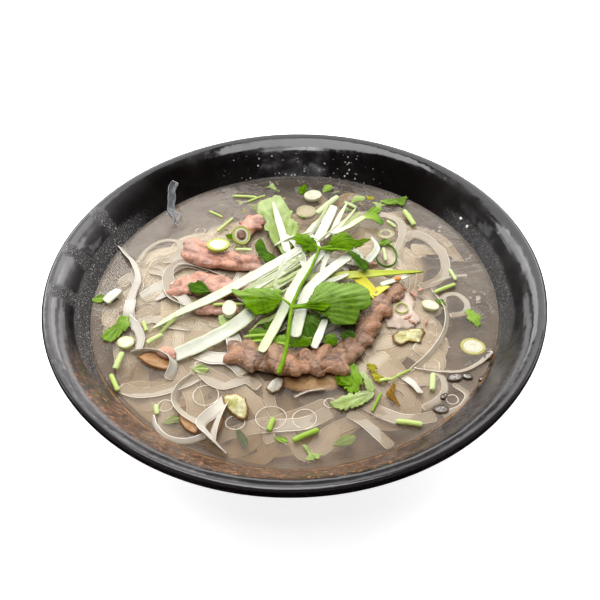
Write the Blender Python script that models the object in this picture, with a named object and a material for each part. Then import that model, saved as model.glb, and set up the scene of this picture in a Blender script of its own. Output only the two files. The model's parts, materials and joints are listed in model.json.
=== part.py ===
"""Pho noodle soup in its bowl: a wide black bowl, clear broth, a bundle of flat rice noodles
that breaks the surface, sliced beef, white scallion strips, a coriander sprig and loose greens.

Units are metres, +Z is up, the origin is under the middle of the bowl, and the side that
faces the diner is -Y.  Lengths below are written as millimetres times MM.
"""
import math
import random

import bmesh
import bpy
from mathutils import Vector

MM = 0.001

# Bowl
RIM_RADIUS = 115.0 * MM
BOWL_HEIGHT = 78.0 * MM
MOUTH_RADIUS = 109.5 * MM
FLOOR_HEIGHT = 9.0 * MM
WALL = 4.2 * MM
WALL_SLOPE = 1.06
KNEE_SOFTNESS = 14.0 * MM
FOOT_RADIUS = 41.0 * MM
FOOT_WIDTH = 5.0 * MM
FOOT_RECESS = 5.0 * MM
BOWL_SEGMENTS = 48
WALL_STATIONS = [station * MM for station in (0.0, 18.0, 31.0, 42.0, 53.0, 66.0, 82.0, 103.0)]

# Contents
SOUP_BELOW_RIM = 15.0 * MM
SOUP_LEVEL = BOWL_HEIGHT - SOUP_BELOW_RIM
GAP = 0.3 * MM
HEAP_CENTRE = Vector((5.0 * MM, -2.0 * MM))
HEAP_SPREAD = 26.0 * MM
HEAP_SHOULDER = SOUP_LEVEL - 4.0 * MM
HEAP_PEAK = SOUP_LEVEL + 5.0 * MM
BUNDLE_RADIUS = 80.0 * MM
BUNDLE_SEGMENTS = 32


# ---------------------------------------------------------------- helpers

def clear_scene():
    for thing in list(bpy.data.objects):
        bpy.data.objects.remove(thing, do_unlink=True)


def finish(name, colour, roughness, metallic=0.0):
    """A plain Principled material, made once for each name."""
    made = bpy.data.materials.get(name)
    if made:
        return made
    made = bpy.data.materials.new(name)
    made.use_nodes = True
    shader = made.node_tree.nodes["Principled BSDF"]
    shader.inputs["Base Color"].default_value = (*colour, 1.0)
    shader.inputs["Roughness"].default_value = roughness
    shader.inputs["Metallic"].default_value = metallic
    return made


def black_glaze():
    return finish("black_glaze", (0.012, 0.010, 0.010), 0.12)


def broth_finish():
    return finish("broth", (0.42, 0.34, 0.27), 0.10)


def noodle_finish():
    return finish("noodle", (0.62, 0.55, 0.46), 0.25)


def beef_finish():
    return finish("beef", (0.34, 0.16, 0.11), 0.40)


def fat_finish():
    return finish("beef_fat", (0.70, 0.52, 0.44), 0.35)


def white_finish():
    return finish("scallion_white", (0.80, 0.82, 0.68), 0.35)


def yellow_finish():
    return finish("scallion_yellow", (0.70, 0.68, 0.04), 0.35)


def pale_green_finish():
    return finish("scallion_green", (0.50, 0.60, 0.20), 0.35)


def leaf_finish():
    return finish("leaf", (0.06, 0.20, 0.02), 0.45)


def pale_leaf_finish():
    return finish("pale_leaf", (0.28, 0.45, 0.10), 0.45)


def mesh_object(name, points, faces, material, smooth=True):
    """One closed body with its faces turned outwards."""
    mesh = bpy.data.meshes.new(name)
    mesh.from_pydata([tuple(point) for point in points], [], faces)
    shell = bmesh.new()
    shell.from_mesh(mesh)
    bmesh.ops.recalc_face_normals(shell, faces=shell.faces)
    shell.to_mesh(mesh)
    shell.free()
    mesh.materials.append(material)
    if smooth:
        mesh.shade_smooth()
        mesh.set_sharp_from_angle(angle=math.radians(45))
    made = bpy.data.objects.new(name, mesh)
    bpy.context.collection.objects.link(made)
    return made


def lofted(name, rings, material, smooth=True):
    """Closed body through rings that hold the same number of points, flat at both ends."""
    count = len(rings[0])
    points = [point for ring in rings for point in ring]
    faces = []
    for row in range(len(rings) - 1):
        for column in range(count):
            beside = (column + 1) % count
            faces.append((
                row * count + column,
                row * count + beside,
                (row + 1) * count + beside,
                (row + 1) * count + column,
            ))
    last = (len(rings) - 1) * count
    faces.append(tuple(range(count)))
    faces.append(tuple(range(last, last + count)))
    return mesh_object(name, points, faces, material, smooth)


def turned(name, profile, segments, material):
    """Body of revolution about Z from a profile of (radius, height) that starts and ends on the axis."""
    shell = bmesh.new()
    corners = [shell.verts.new((radius, 0.0, height)) for radius, height in profile]
    edges = [shell.edges.new(pair) for pair in zip(corners, corners[1:])]
    bmesh.ops.spin(
        shell,
        geom=corners + edges,
        cent=(0.0, 0.0, 0.0),
        axis=(0.0, 0.0, 1.0),
        angle=math.tau,
        steps=segments,
        use_merge=True,
    )
    bmesh.ops.remove_doubles(shell, verts=shell.verts, dist=0.00001)
    bmesh.ops.recalc_face_normals(shell, faces=shell.faces)
    mesh = bpy.data.meshes.new(name)
    shell.to_mesh(mesh)
    shell.free()
    mesh.materials.append(material)
    mesh.shade_smooth()
    mesh.set_sharp_from_angle(angle=math.radians(50))
    made = bpy.data.objects.new(name, mesh)
    bpy.context.collection.objects.link(made)
    return made


def hide_cutter(cutter):
    cutter.hide_render = True
    cutter.display_type = "WIRE"


def combine(target, other, operation):
    """Boolean with another object, which is then only a guide."""
    modifier = target.modifiers.new(operation.lower() + "_" + other.name, "BOOLEAN")
    modifier.operation = operation
    modifier.solver = "EXACT"
    modifier.object = other
    hide_cutter(other)


def along(points, steps):
    """Points spread evenly along a smooth curve through the given points (Catmull-Rom)."""
    route = [Vector(point) for point in points]
    route = [route[0] * 2 - route[1]] + route + [route[-1] * 2 - route[-2]]
    fine = []
    pieces = len(route) - 3
    for piece in range(pieces):
        before, start, end, after = route[piece:piece + 4]
        for part in range(20):
            t = part / 20
            fine.append(0.5 * (
                2 * start
                + (end - before) * t
                + (2 * before - 5 * start + 4 * end - after) * t ** 2
                + (3 * start - before - 3 * end + after) * t ** 3
            ))
    fine.append(route[-2])
    lengths = [0.0]
    for one, two in zip(fine, fine[1:]):
        lengths.append(lengths[-1] + (two - one).length)
    spread = []
    for step in range(steps + 1):
        wanted = lengths[-1] * step / steps
        index = max(i for i, length in enumerate(lengths) if length <= wanted + 1e-12)
        index = min(index, len(fine) - 2)
        share = (wanted - lengths[index]) / (lengths[index + 1] - lengths[index])
        spread.append(fine[index].lerp(fine[index + 1], share))
    return spread


def frames(route, tilt=0.0):
    """At each point of a route: the point, its sideways direction and its upward direction."""
    result = []
    for index, point in enumerate(route):
        ahead = route[min(index + 1, len(route) - 1)] - route[max(index - 1, 0)]
        ahead.normalize()
        sideways = ahead.cross(Vector((0.0, 0.0, 1.0)))
        sideways.normalize()
        upward = sideways.cross(ahead)
        turned_side = sideways * math.cos(tilt) + upward * math.sin(tilt)
        turned_up = upward * math.cos(tilt) - sideways * math.sin(tilt)
        result.append((point, turned_side, turned_up))
    return result


def over_soup(x, y, height):
    """A place in the bowl: x and y in millimetres, and millimetres above the soup."""
    return Vector((x * MM, y * MM, SOUP_LEVEL + height * MM))


def heap_top(x, y):
    """Height of the noodle bundle's top."""
    apart = math.hypot(x - HEAP_CENTRE.x, y - HEAP_CENTRE.y) / HEAP_SPREAD
    return HEAP_SHOULDER + (HEAP_PEAK - HEAP_SHOULDER) * math.exp(-0.5 * apart ** 2)


def resting_height(point):
    """Lowest height that a topping may reach there: just over the soup and the noodles."""
    return max(SOUP_LEVEL, heap_top(point.x, point.y) + 0.3 * MM) + GAP


# ---------------------------------------------------------------- bowl and soup

def soft_rise(height):
    """How far out from the knee the inner face is at a height: a flat floor that bends into a cone."""
    bend = WALL_SLOPE * KNEE_SOFTNESS
    return KNEE_SOFTNESS * math.log(math.exp((height - FLOOR_HEIGHT) / bend) - 1.0)


def inside_radius(height):
    """Radius of the bowl's inner face at a height."""
    return MOUTH_RADIUS + soft_rise(height) - soft_rise(BOWL_HEIGHT)


def inside_height(radius):
    """Height of the bowl's inner face at a radius."""
    knee_radius = MOUTH_RADIUS - soft_rise(BOWL_HEIGHT)
    bend = WALL_SLOPE * KNEE_SOFTNESS
    return FLOOR_HEIGHT + bend * math.log(1.0 + math.exp((radius - knee_radius) / KNEE_SOFTNESS))


def wall_offset(radius, depth):
    """Point of the inner face moved out of the bowl by a depth, square to the face."""
    step = 0.1 * MM
    slope = (inside_height(radius + step) - inside_height(radius)) / step
    lean = math.atan(slope)
    return (radius + depth * math.sin(lean), inside_height(radius) - depth * math.cos(lean))


def lip_profile():
    """From the outer wall over the outer bead, a shallow groove and the inner roll."""
    top = BOWL_HEIGHT
    return [
        (RIM_RADIUS - 2.4 * MM, top - 5.4 * MM),
        (RIM_RADIUS - 0.5 * MM, top - 3.6 * MM),
        (RIM_RADIUS, top - 1.9 * MM),
        (RIM_RADIUS - 0.9 * MM, top - 0.5 * MM),
        (RIM_RADIUS - 2.3 * MM, top - 0.2 * MM),
        (RIM_RADIUS - 3.4 * MM, top - 0.7 * MM),
        (RIM_RADIUS - 4.6 * MM, top),
        (RIM_RADIUS - 6.2 * MM, top - 0.3 * MM),
        (RIM_RADIUS - 7.8 * MM, top - 2.2 * MM),
    ]


def bowl():
    foot_inside = FOOT_RADIUS - FOOT_WIDTH
    under = [
        (0.0, FOOT_RECESS + 0.4 * MM),
        (foot_inside - 3.0 * MM, FOOT_RECESS),
        (foot_inside, 0.0),
        (FOOT_RADIUS, 0.0),
        (FOOT_RADIUS + 0.6 * MM, 9.0 * MM),
        (FOOT_RADIUS + 2.6 * MM, 12.6 * MM),
    ]
    outer_wall = [wall_offset(radius * MM, WALL) for radius in (46, 54, 65, 80, 96)]
    inner_wall = [(radius, inside_height(radius)) for radius in reversed(WALL_STATIONS)]
    profile = under + outer_wall + lip_profile() + inner_wall
    return turned("bowl", profile, BOWL_SEGMENTS, black_glaze())


def soup_profile():
    """The soup against the bowl, a gap away from it, and flat on top."""
    edge = inside_radius(SOUP_LEVEL)
    profile = [(0.0, inside_height(0.0) + 2 * GAP)]
    for radius in WALL_STATIONS[1:-1]:
        profile.append(wall_offset(radius, -GAP * 2))
    profile.append((edge - GAP * 2, SOUP_LEVEL))
    profile.append((0.0, SOUP_LEVEL))
    return profile


def bundle_radius(angle):
    """Uneven outline of the noodle bundle at its shoulder."""
    return (
        BUNDLE_RADIUS
        + 2.4 * MM * math.sin(3 * angle + 0.6)
        + 1.5 * MM * math.sin(5 * angle + 2.1)
        + 0.9 * MM * math.sin(9 * angle + 0.4)
    )


def bundle_body(name, grow):
    """The noodle bundle from the bowl's floor to its top, grown outwards to cut the soup."""
    reach = 4.0 * MM if grow else 0.0
    rows = []
    for radius in WALL_STATIONS[1:4]:
        height = inside_height(radius) + 2.5 * GAP - reach
        rows.append([(radius + grow, height)] * BUNDLE_SEGMENTS)
    side = []
    shoulder = []
    for column in range(BUNDLE_SEGMENTS):
        outline = bundle_radius(math.tau * column / BUNDLE_SEGMENTS)
        side.append((outline * 0.80 + grow, SOUP_LEVEL - 20.0 * MM))
        shoulder.append((outline * 0.99 + 1.5 * grow, SOUP_LEVEL - 7.5 * MM))
    rows.append(side)
    rows.append(shoulder)
    for share in (0.86, 0.7, 0.54, 0.4, 0.26, 0.12):
        row = []
        for column in range(BUNDLE_SEGMENTS):
            angle = math.tau * column / BUNDLE_SEGMENTS
            radius = bundle_radius(angle) * share
            ripple = 0.5 * MM * math.sin(7 * angle + 9 * share) * share
            height = heap_top(radius * math.cos(angle), radius * math.sin(angle)) - 0.2 * MM + ripple
            row.append((radius, height + grow))
        rows.append(row)
    rings = []
    for row in rows:
        ring = []
        for column, (radius, height) in enumerate(row):
            angle = math.tau * column / BUNDLE_SEGMENTS
            ring.append(Vector((radius * math.cos(angle), radius * math.sin(angle), height)))
        rings.append(ring)
    return lofted(name, rings, noodle_finish())


def soup_and_noodles():
    bundle_body("noodles", 0.0)
    broth = turned("broth", soup_profile(), BOWL_SEGMENTS, broth_finish())
    combine(broth, bundle_body("bundle_cutter", 1.5 * GAP), "DIFFERENCE")


# ---------------------------------------------------------------- beef

def beef_slice(name, route, width, thickness, seed, folds=0.35, rows=13, material=None):
    """A crumpled slice of beef that lies on the soup along a route; widths vary as it folds."""
    chance = random.Random(seed)
    phases = [chance.uniform(0.0, math.tau) for _ in range(4)]
    rings = []
    for index, (point, sideways, upward) in enumerate(frames(along(route, rows))):
        share = index / rows
        taper = math.sin(math.pi * (0.07 + 0.86 * share)) ** 0.45
        half = 0.5 * width * MM * taper * (1.0 + folds * math.sin(7.0 * share + phases[0]))
        tall = 0.5 * thickness * MM * taper * (1.0 + 0.7 * folds * math.sin(15.0 * share + phases[1]))
        ring = []
        for corner in range(9):
            angle = math.tau * corner / 9
            wave = 1.0 + 0.16 * math.sin(3 * angle + phases[2] + 5 * share)
            wave += 0.10 * math.sin(5 * angle + phases[3] - 9 * share)
            place = point + sideways * half * math.cos(angle) * wave + upward * tall * math.sin(angle) * wave
            place.z = max(place.z, resting_height(place))
            ring.append(place)
        rings.append(ring)
    return lofted(name, rings, material or beef_finish())


def beef():
    slices = {
        "beef_rolled_slice": (
            [(-57, 31, 2.8), (-49, 31, 3.2), (-39, 27, 3.0), (-27, 23.5, 3.0), (-16, 23, 2.8)], 13, 6.0, 3, 0.10),
        "beef_flat_slice": (
            [(-57, 7, 1.4), (-48, 10, 1.8), (-37, 9, 1.8), (-27, 5, 1.6)], 15, 3.4, 5, 0.18),
        "beef_tucked_slice": (
            [(-43, -6, 1.5), (-36, -6, 2.2), (-28, -10, 2.2)], 8, 4.0, 7, 0.25),
        "beef_back_morsel": (
            [(-24, 49, 1.6), (-20, 53, 1.8), (-16, 59, 1.4)], 9, 3.4, 9, 0.2),
        "beef_front_slice": (
            [(-24, -37, 2.0), (-15, -41, 2.6), (-5, -43, 2.8), (5, -43, 2.6)], 15, 5.4, 11, 0.16),
        "beef_front_fold": (
            [(8, -42, 2.4), (15, -42, 3.0), (22, -38, 2.8), (26, -34, 2.2)], 13, 6.0, 13, 0.18),
        "beef_right_fold": (
            [(31, -31, 2.4), (34, -24, 3.0), (38, -15, 3.2), (42, -8, 2.6)], 14, 6.2, 15, 0.16),
        "beef_right_tip": (
            [(43, -1, 1.6), (47, 3, 2.0), (51, 5, 1.5)], 8, 3.4, 17, 0.2),
        "beef_left_morsel": (
            [(-62.5, -29.5, 1.5), (-59.5, -29.7, 2.2), (-56.5, -29.5, 1.5)], 6, 4.4, 19, 0.05),
    }
    for name, (route, width, thickness, seed, folds) in slices.items():
        points = [over_soup(x, y, height + 0.6) for x, y, height in route]
        rows = 6 if name.endswith("morsel") or name.endswith("tip") else 10
        beef_slice(name, points, width, thickness, seed, folds, rows)
    fat_route = [over_soup(52.5, -8.5, 1.4), over_soup(52, -15, 1.7), over_soup(53, -22, 1.4)]
    beef_slice("beef_fat_piece", fat_route, 12.0, 2.6, 23, 0.22, 8, fat_finish())


# ---------------------------------------------------------------- scallion strips

def strip(name, route, width, thickness, material, point_end=False, steps=7, tilt=0.0):
    """A shred of scallion: a flat bar that narrows a little at its ends."""
    rings = []
    for index, (place, sideways, upward) in enumerate(frames(along(route, steps), math.radians(tilt))):
        share = index / steps
        narrow = 0.82 + 0.18 * math.sin(math.pi * share)
        if point_end:
            narrow *= 1.0 - 0.85 * max(0.0, share - 0.55) / 0.45
        half = 0.5 * width * MM * narrow
        tall = 0.5 * thickness * MM
        ring = []
        for side, level in ((-1, -1), (1, -1), (1, 1), (-1, 1)):
            ring.append(place + sideways * half * side + upward * tall * level)
        rings.append(ring)
    return lofted(name, rings, material, smooth=False)


def scallion_strips():
    """Name: route in millimetres (x, y, height over the soup), width, thickness."""
    strips = {
        "strip_long": (
            [(-62, -13.5, 1.6), (-52.5, -7, 3.6), (-37, -0.5, 6.2), (-18, 9.5, 8.8), (4, 25, 10.4)], 5.2, 1.4),
        "strip_broad": (
            [(-54.5, -32, 1.6), (-40.5, -25.5, 3.2), (-29, -19, 5.2), (-19, -10, 6.4), (-9, 4, 7.0)], 6.2, 1.4),
        "strip_back": ([(-9.5, 65, 7.0), (-5.5, 43, 7.6), (-2.5, 25, 8.0)], 4.2, 1.3),
        "strip_tall": ([(22, 61, 6.4), (17.5, 47.5, 7.3), (12.5, 33, 8.4)], 4.6, 1.2),
        "strip_thin": ([(29, 65, 5.2), (24, 52, 6.2), (19.5, 39, 7.2)], 2.4, 1.1),
        "strip_short": ([(13, 49, 5.2), (10, 43.5, 5.8), (6.5, 37, 6.3)], 4.0, 1.2),
        "strip_fan_right": ([(37, 53, 5.4), (28, 45, 6.2), (19.8, 36, 9.6)], 3.8, 1.1),
        "strip_curled": ([(39.5, 36.5, 5.0), (41.5, 29, 5.4), (36, 19.5, 5.8)], 3.2, 1.2),
        "strip_stub": ([(30, 28, 5.6), (32.5, 22.5, 5.6), (30.5, 17.5, 5.6)], 3.4, 1.2),
        "strip_steep": (
            [(15, 22.5, 11.0), (6.5, 10, 10.6), (-1, -4.5, 9.8), (-7.5, -22, 8.9), (-14, -38, 7.9)], 4.6, 1.3),
        "strip_wide": (
            [(29, 21, 9.4), (18, 10, 9.9), (8, -2, 9.9), (3.5, -15, 9.6), (0, -30, 8.2)], 5.4, 1.4),
        "strip_front": ([(14, -21, 8.6), (11, -29.5, 8.2), (8, -36.5, 7.4)], 3.6, 1.2),
        "strip_yellow_end": ([(43.5, -4.0, 4.6), (40.0, 0.5, 5.0), (33.5, 5.0, 5.6)], 3.4, 1.1),
        "strip_orange_tip": ([(47, 7.8, 5.6), (54, 9.6, 4.4), (61, 13.2, 3.2)], 2.2, 1.0),
        "strip_chunk_left": ([(-89, 1.5, 1.5), (-86, 4.5, 1.9), (-83.5, 8, 1.5)], 4.4, 1.6),
    }
    for name, (route, width, thickness) in strips.items():
        points = [over_soup(*place) for place in route]
        long_one = len(route) > 3
        narrow_end = name in ("strip_curled", "strip_thin")
        if narrow_end:
            points.reverse()
        material = yellow_finish() if name == "strip_yellow_end" else white_finish()
        strip(name, points, width, thickness, material, narrow_end, 9 if long_one else 5)
    pointed = [over_soup(*place) for place in (
        (-2, 6.5, 7.9), (12.5, 9, 8.0), (30, 11, 7.7), (46, 13.4, 7.3), (62, 12.8, 6.4))]
    strip("strip_pointed", pointed, 4.4, 1.2, yellow_finish(), True, 8)
    green_end = [over_soup(*place) for place in ((38.5, 54.4, 4.6), (42, 53.5, 4.4), (45, 50, 3.6))]
    strip("strip_green_end", green_end, 3.8, 1.1, pale_green_finish(), True, 4)


# ---------------------------------------------------------------- leaves

def leaf(name, base, tip, spread, material, thickness=0.55, lobes=3, cup=0.0, teeth=0.10, steps=14):
    """A fan-shaped leaflet from its base to its tip: spread in degrees each way, with lobes and teeth.

    cup lifts (+) or drops (-) the leaf's sides, as a share of its length."""
    axis = tip - base
    length = axis.length
    axis.normalize()
    across = axis.cross(Vector((0.0, 0.0, 1.0)))
    across.normalize()
    normal = across.cross(axis)
    normal.normalize()

    def outline(turn):
        share = turn / math.radians(spread)
        reach = 1.0 - 0.42 * abs(share) ** 1.6
        reach *= 1.0 - 0.13 * (0.5 - 0.5 * math.cos(math.tau * lobes * (share + 1.0) / 2))
        reach *= 1.0 + teeth * math.sin(13.0 * share + 1.0)
        return reach

    def place(turn, share):
        reach = length * share * outline(turn)
        sideways = reach * math.sin(turn)
        lift = cup * length * (sideways / length) ** 2 * 4.0
        lift += min(0.03 * length, 0.5 * MM) * math.sin(5.0 * turn + 1.0) * share ** 2
        return base + axis * reach * math.cos(turn) + across * sideways + normal * lift

    turns = [math.radians(spread) * (2.0 * step / steps - 1.0) for step in range(steps + 1)]
    top = [base + normal * 0.0]
    for share in (0.5, 1.0):
        top += [place(turn, share) for turn in turns]
    down = normal * thickness * MM
    bottom = [point - down for point in top]
    count = len(top)
    wide = steps + 1
    faces = []
    for step in range(steps):
        inner = (0, 1 + step, 2 + step)
        outer = (1 + step, 1 + wide + step, 2 + wide + step, 2 + step)
        faces.append(inner)
        faces.append(outer)
        faces.append(tuple(count + index for index in reversed(inner)))
        faces.append(tuple(count + index for index in reversed(outer)))
    border = [0] + [1] + [1 + wide + step for step in range(wide)] + [wide]
    for one, two in zip(border, border[1:] + border[:1]):
        faces.append((one, two, count + two, count + one))
    return mesh_object(name, top + bottom, faces, material, smooth=False)


def stalk(name, route, start_radius, end_radius, material, sides=6, steps=7):
    """A round stalk that thickens along its route."""
    rings = []
    for index, (point, sideways, upward) in enumerate(frames(along(route, steps))):
        radius = (start_radius + (end_radius - start_radius) * index / steps) * MM
        ring = []
        for side in range(sides):
            angle = math.tau * side / sides
            ring.append(point + sideways * radius * math.cos(angle) + upward * radius * math.sin(angle))
        rings.append(ring)
    return lofted(name, rings, material)


def coriander_sprig():
    """One sprig across the top of the heap: a stalk, two leaves at its fork and three at its head."""
    stem_points = [(13.5, 23, 13.1), (7.5, 6.5, 13.1), (2.5, -10, 12.8), (-1.5, -25, 12.3),
                   (-5, -40, 10.6), (-7, -51.5, 8.6)]
    sprig = stalk("coriander_sprig", [over_soup(*p) for p in stem_points], 0.7, 1.25, leaf_finish())
    leaves = {
        "sprig_leaf_head_left": ((13.5, 21.5, 13.3), (-2, 33, 12.9), 62, 3, -0.04, 10),
        "sprig_leaf_head_right": ((12.8, 22, 13.3), (36, 29.5, 12.6), 44, 3, -0.05, 10),
        "sprig_leaf_fold": ((24, 23.8, 12.9), (35, 9.5, 11.4), 30, 2, -0.05, 8),
        "sprig_leaf_left": ((-0.6, -22.5, 12.7), (-29, -0.5, 11.2), 34, 3, -0.05, 12),
        "sprig_leaf_right": ((-1.5, -23.5, 12.4), (37, -14, 12.9), 36, 3, -0.04, 14),
    }
    for name, (base, tip, spread, lobes, cup, steps) in leaves.items():
        blade = leaf(name, over_soup(*base), over_soup(*tip), spread, leaf_finish(), 0.6, lobes, cup, 0.06, steps)
        combine(sprig, blade, "UNION")


def loose_leaves():
    """Base, tip, spread, lobes, cup and finish of each leaf that lies loose in the bowl."""
    green = leaf_finish()
    pale = pale_leaf_finish()
    leaves = {
        "leaf_back_pale": ((-1, 30, 5.8), (-6.5, 73, 4.4), 23, 2, 0.02, pale),
        "leaf_back_dark": ((-10, 25, 6.4), (-19, 41, 5.0), 26, 2, 0.02, green),
        "leaf_on_beef": ((-39.5, 2.5, 5.0), (-49, 7.5, 5.0), 42, 3, 0.0, green),
        "leaf_left": ((-76, -8.5, 1.4), (-88, -23, 1.4), 36, 3, 0.0, pale),
        "leaf_cluster": ((20, -59.5, 1.4), (28, -47.5, 1.8), 44, 3, 0.0, pale),
        "leaf_long_light": ((36, -62.0, 1.4), (15.5, -68, 1.4), 20, 3, 0.0, pale),
        "leaf_right": ((80, -11.5, 1.0), (85, -19.5, 1.0), 46, 3, 0.0, pale),
        "leaf_front": ((2.5, -83.8, 1.0), (9, -91, 1.0), 40, 3, 0.0, pale),
        "leaf_back_spiky": ((46, 67, 1.4), (61, 72, 1.4), 24, 3, 0.0, green),
        "leaf_under_sprig": ((7, -23.5, 5.6), (20, -31.5, 6.6), 38, 3, 0.0, green),
    }
    for name, (base, tip, spread, lobes, cup, material) in leaves.items():
        steps = 14 if name == "leaf_back_pale" else 10
        leaf(name, over_soup(*base), over_soup(*tip), spread, material, 0.5, lobes, cup, 0.08, steps)


# ---------------------------------------------------------------- scallion slices and stalks

def disc_slice(name, centre, length, width, turn, thickness, material, tilt=0.0):
    """A slice across a scallion, oval because it is cut at a slant, with soft edges."""
    lean = math.radians(tilt)
    heading = math.radians(turn)
    forward = Vector((math.cos(heading), math.sin(heading), 0.0))
    across = Vector((-math.sin(heading), math.cos(heading), 0.0))
    across = across * math.cos(lean) + Vector((0.0, 0.0, 1.0)) * math.sin(lean)
    upward = forward.cross(across)
    rings = []
    for level, share in ((0.0, 0.86), (0.3, 1.0), (0.7, 1.0), (1.0, 0.86)):
        ring = []
        for corner in range(14):
            angle = math.tau * corner / 14
            ring.append(
                centre
                + forward * 0.5 * length * MM * share * math.cos(angle)
                + across * 0.5 * width * MM * share * math.sin(angle)
                + upward * thickness * MM * level
            )
        rings.append(ring)
    return lofted(name, rings, material)


def hollow_ring(name, centre, radius, thickness, turn, tilt, material, open_part=0.0):
    """A hollow slice of scallion: a round band, or an open curl of it."""
    lean = math.radians(tilt)
    heading = math.radians(turn)
    forward = Vector((math.cos(heading), math.sin(heading), 0.0))
    flat_across = Vector((-math.sin(heading), math.cos(heading), 0.0))
    across = flat_across * math.cos(lean) + Vector((0.0, 0.0, 1.0)) * math.sin(lean)
    upward = forward.cross(across)
    sections = 14
    rings = []
    for section in range(sections + 1):
        angle = math.radians(open_part / 2) + (math.tau - math.radians(open_part)) * section / sections
        outward = forward * math.cos(angle) + across * math.sin(angle)
        wall = 1.3 * MM
        ring = []
        for side, level in ((-1, 0), (0, 0), (0, 1), (-1, 1)):
            ring.append(centre + outward * (radius * MM + side * wall) + upward * level * thickness * MM)
        rings.append(ring)
    if open_part:
        return lofted(name, rings, material, smooth=False)
    points = [point for ring in rings[:-1] for point in ring]
    faces = []
    for section in range(sections):
        for corner in range(4):
            beside = (corner + 1) % 4
            following = (section + 1) % sections
            faces.append((
                section * 4 + corner,
                section * 4 + beside,
                following * 4 + beside,
                following * 4 + corner,
            ))
    return mesh_object(name, points, faces, material, smooth=False)


def scallion_slices():
    discs = {
        "scallion_on_beef": ((-36.5, 31.5, 7.4), 11.6, 9.4, 0, 1.8, 0),
        "scallion_back": ((11.5, 76, 0.9), 9.5, 8.5, 10, 2.0, 0),
        "scallion_bulb": ((-29.5, -13, 6.5), 7.2, 7.0, 0, 2.6, 0),
        "scallion_left": ((-76.5, -25.5, 2.2), 7.0, 6.6, 0, 1.8, 0),
        "scallion_right": ((78.5, -33.5, 0.9), 11.6, 10.4, -20, 2.0, 0),
        "scallion_mid_right": ((65, -6, 0.9), 11.0, 6.2, -8, 2.4, 0),
    }
    for name, (centre, length, width, turn, thickness, tilt) in discs.items():
        place = over_soup(*centre)
        disc_slice(name, place, length, width, turn, thickness, white_finish(), tilt)
    hollow_ring("scallion_ring_back", over_soup(-26, 43, 4.4), 4.8, 2.2, 20, 32, pale_green_finish())
    hollow_ring("scallion_curl_front", over_soup(-26, -63, 0.9), 6.2, 5.0, 150, 0, pale_green_finish(), 150)


def stalk_pieces():
    """Short lengths of coriander stalk and scallion that float on the soup."""
    pieces = {
        "stalk_back": ((24.5, 74, 2.0), (13, 59, 3.4), 1.7),
        "stalk_right_back": ((58.5, 62, 1.4), (62.5, 50.5, 1.4), 1.4),
        "stalk_front": ((-2, -82, 1.5), (8.5, -77, 1.5), 1.3),
        "stalk_right": ((59.5, -48.5, 1.5), (58, -57.5, 1.5), 1.3),
        "stalk_front_right": ((41, -73.5, 1.4), (51.5, -75.5, 1.4), 1.2),
        "stalk_left": ((-67, -26, 1.4), (-60.5, -21.0, 1.4), 1.2),
        "stalk_left_lower": ((-77.5, -31.5, 1.5), (-79.5, -41, 1.5), 1.4),
        "stalk_left_edge": ((-81, -44, 1.3), (-77, -53, 1.3), 1.1),
        "stalk_mid_right": ((66.5, 1.5, 1.2), (77, 6.5, 1.2), 1.0),
    }
    for name, (start, end, radius) in pieces.items():
        ends = [over_soup(*start), over_soup(*end)]
        middle = ends[0].lerp(ends[1], 0.5) + Vector((0.0, 0.0, 0.3 * MM))
        stalk(name, [ends[0], middle, ends[1]], radius, radius, pale_green_finish(), 6, 2)


def wall_noodle():
    """A stray noodle stuck to the bowl's inner wall behind the heap, its end on the soup."""
    direction = math.atan2(76.0, -63.0)
    outward = Vector((math.cos(direction), math.sin(direction), 0.0))
    along_wall = Vector((-math.sin(direction), math.cos(direction), 0.0))
    route = []
    for height in (72.5, 70.5, 68.0, 66.0, 64.4):
        radius = inside_radius(height * MM) - 1.5 * MM
        place = outward * radius + along_wall * 0.6 * MM * math.sin(height)
        place.z = height * MM
        route.append(place)
    for inward in (6.0, 12.0):
        place = outward * (inside_radius(SOUP_LEVEL) - (2.0 + inward) * MM)
        place.z = SOUP_LEVEL + 1.0 * MM
        route.append(place)
    rings = []
    for index, point in enumerate(route):
        ahead = route[min(index + 1, len(route) - 1)] - route[max(index - 1, 0)]
        upward = ahead.cross(along_wall).normalized() * 0.35 * MM
        half = along_wall * 2.3 * MM
        rings.append([point - half - upward, point + half - upward, point + half + upward, point - half + upward])
    return lofted("noodle_on_wall", rings, noodle_finish(), smooth=False)


def main():
    clear_scene()
    bowl()
    soup_and_noodles()
    beef()
    scallion_strips()
    coriander_sprig()
    loose_leaves()
    scallion_slices()
    stalk_pieces()
    wall_noodle()


main()
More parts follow.
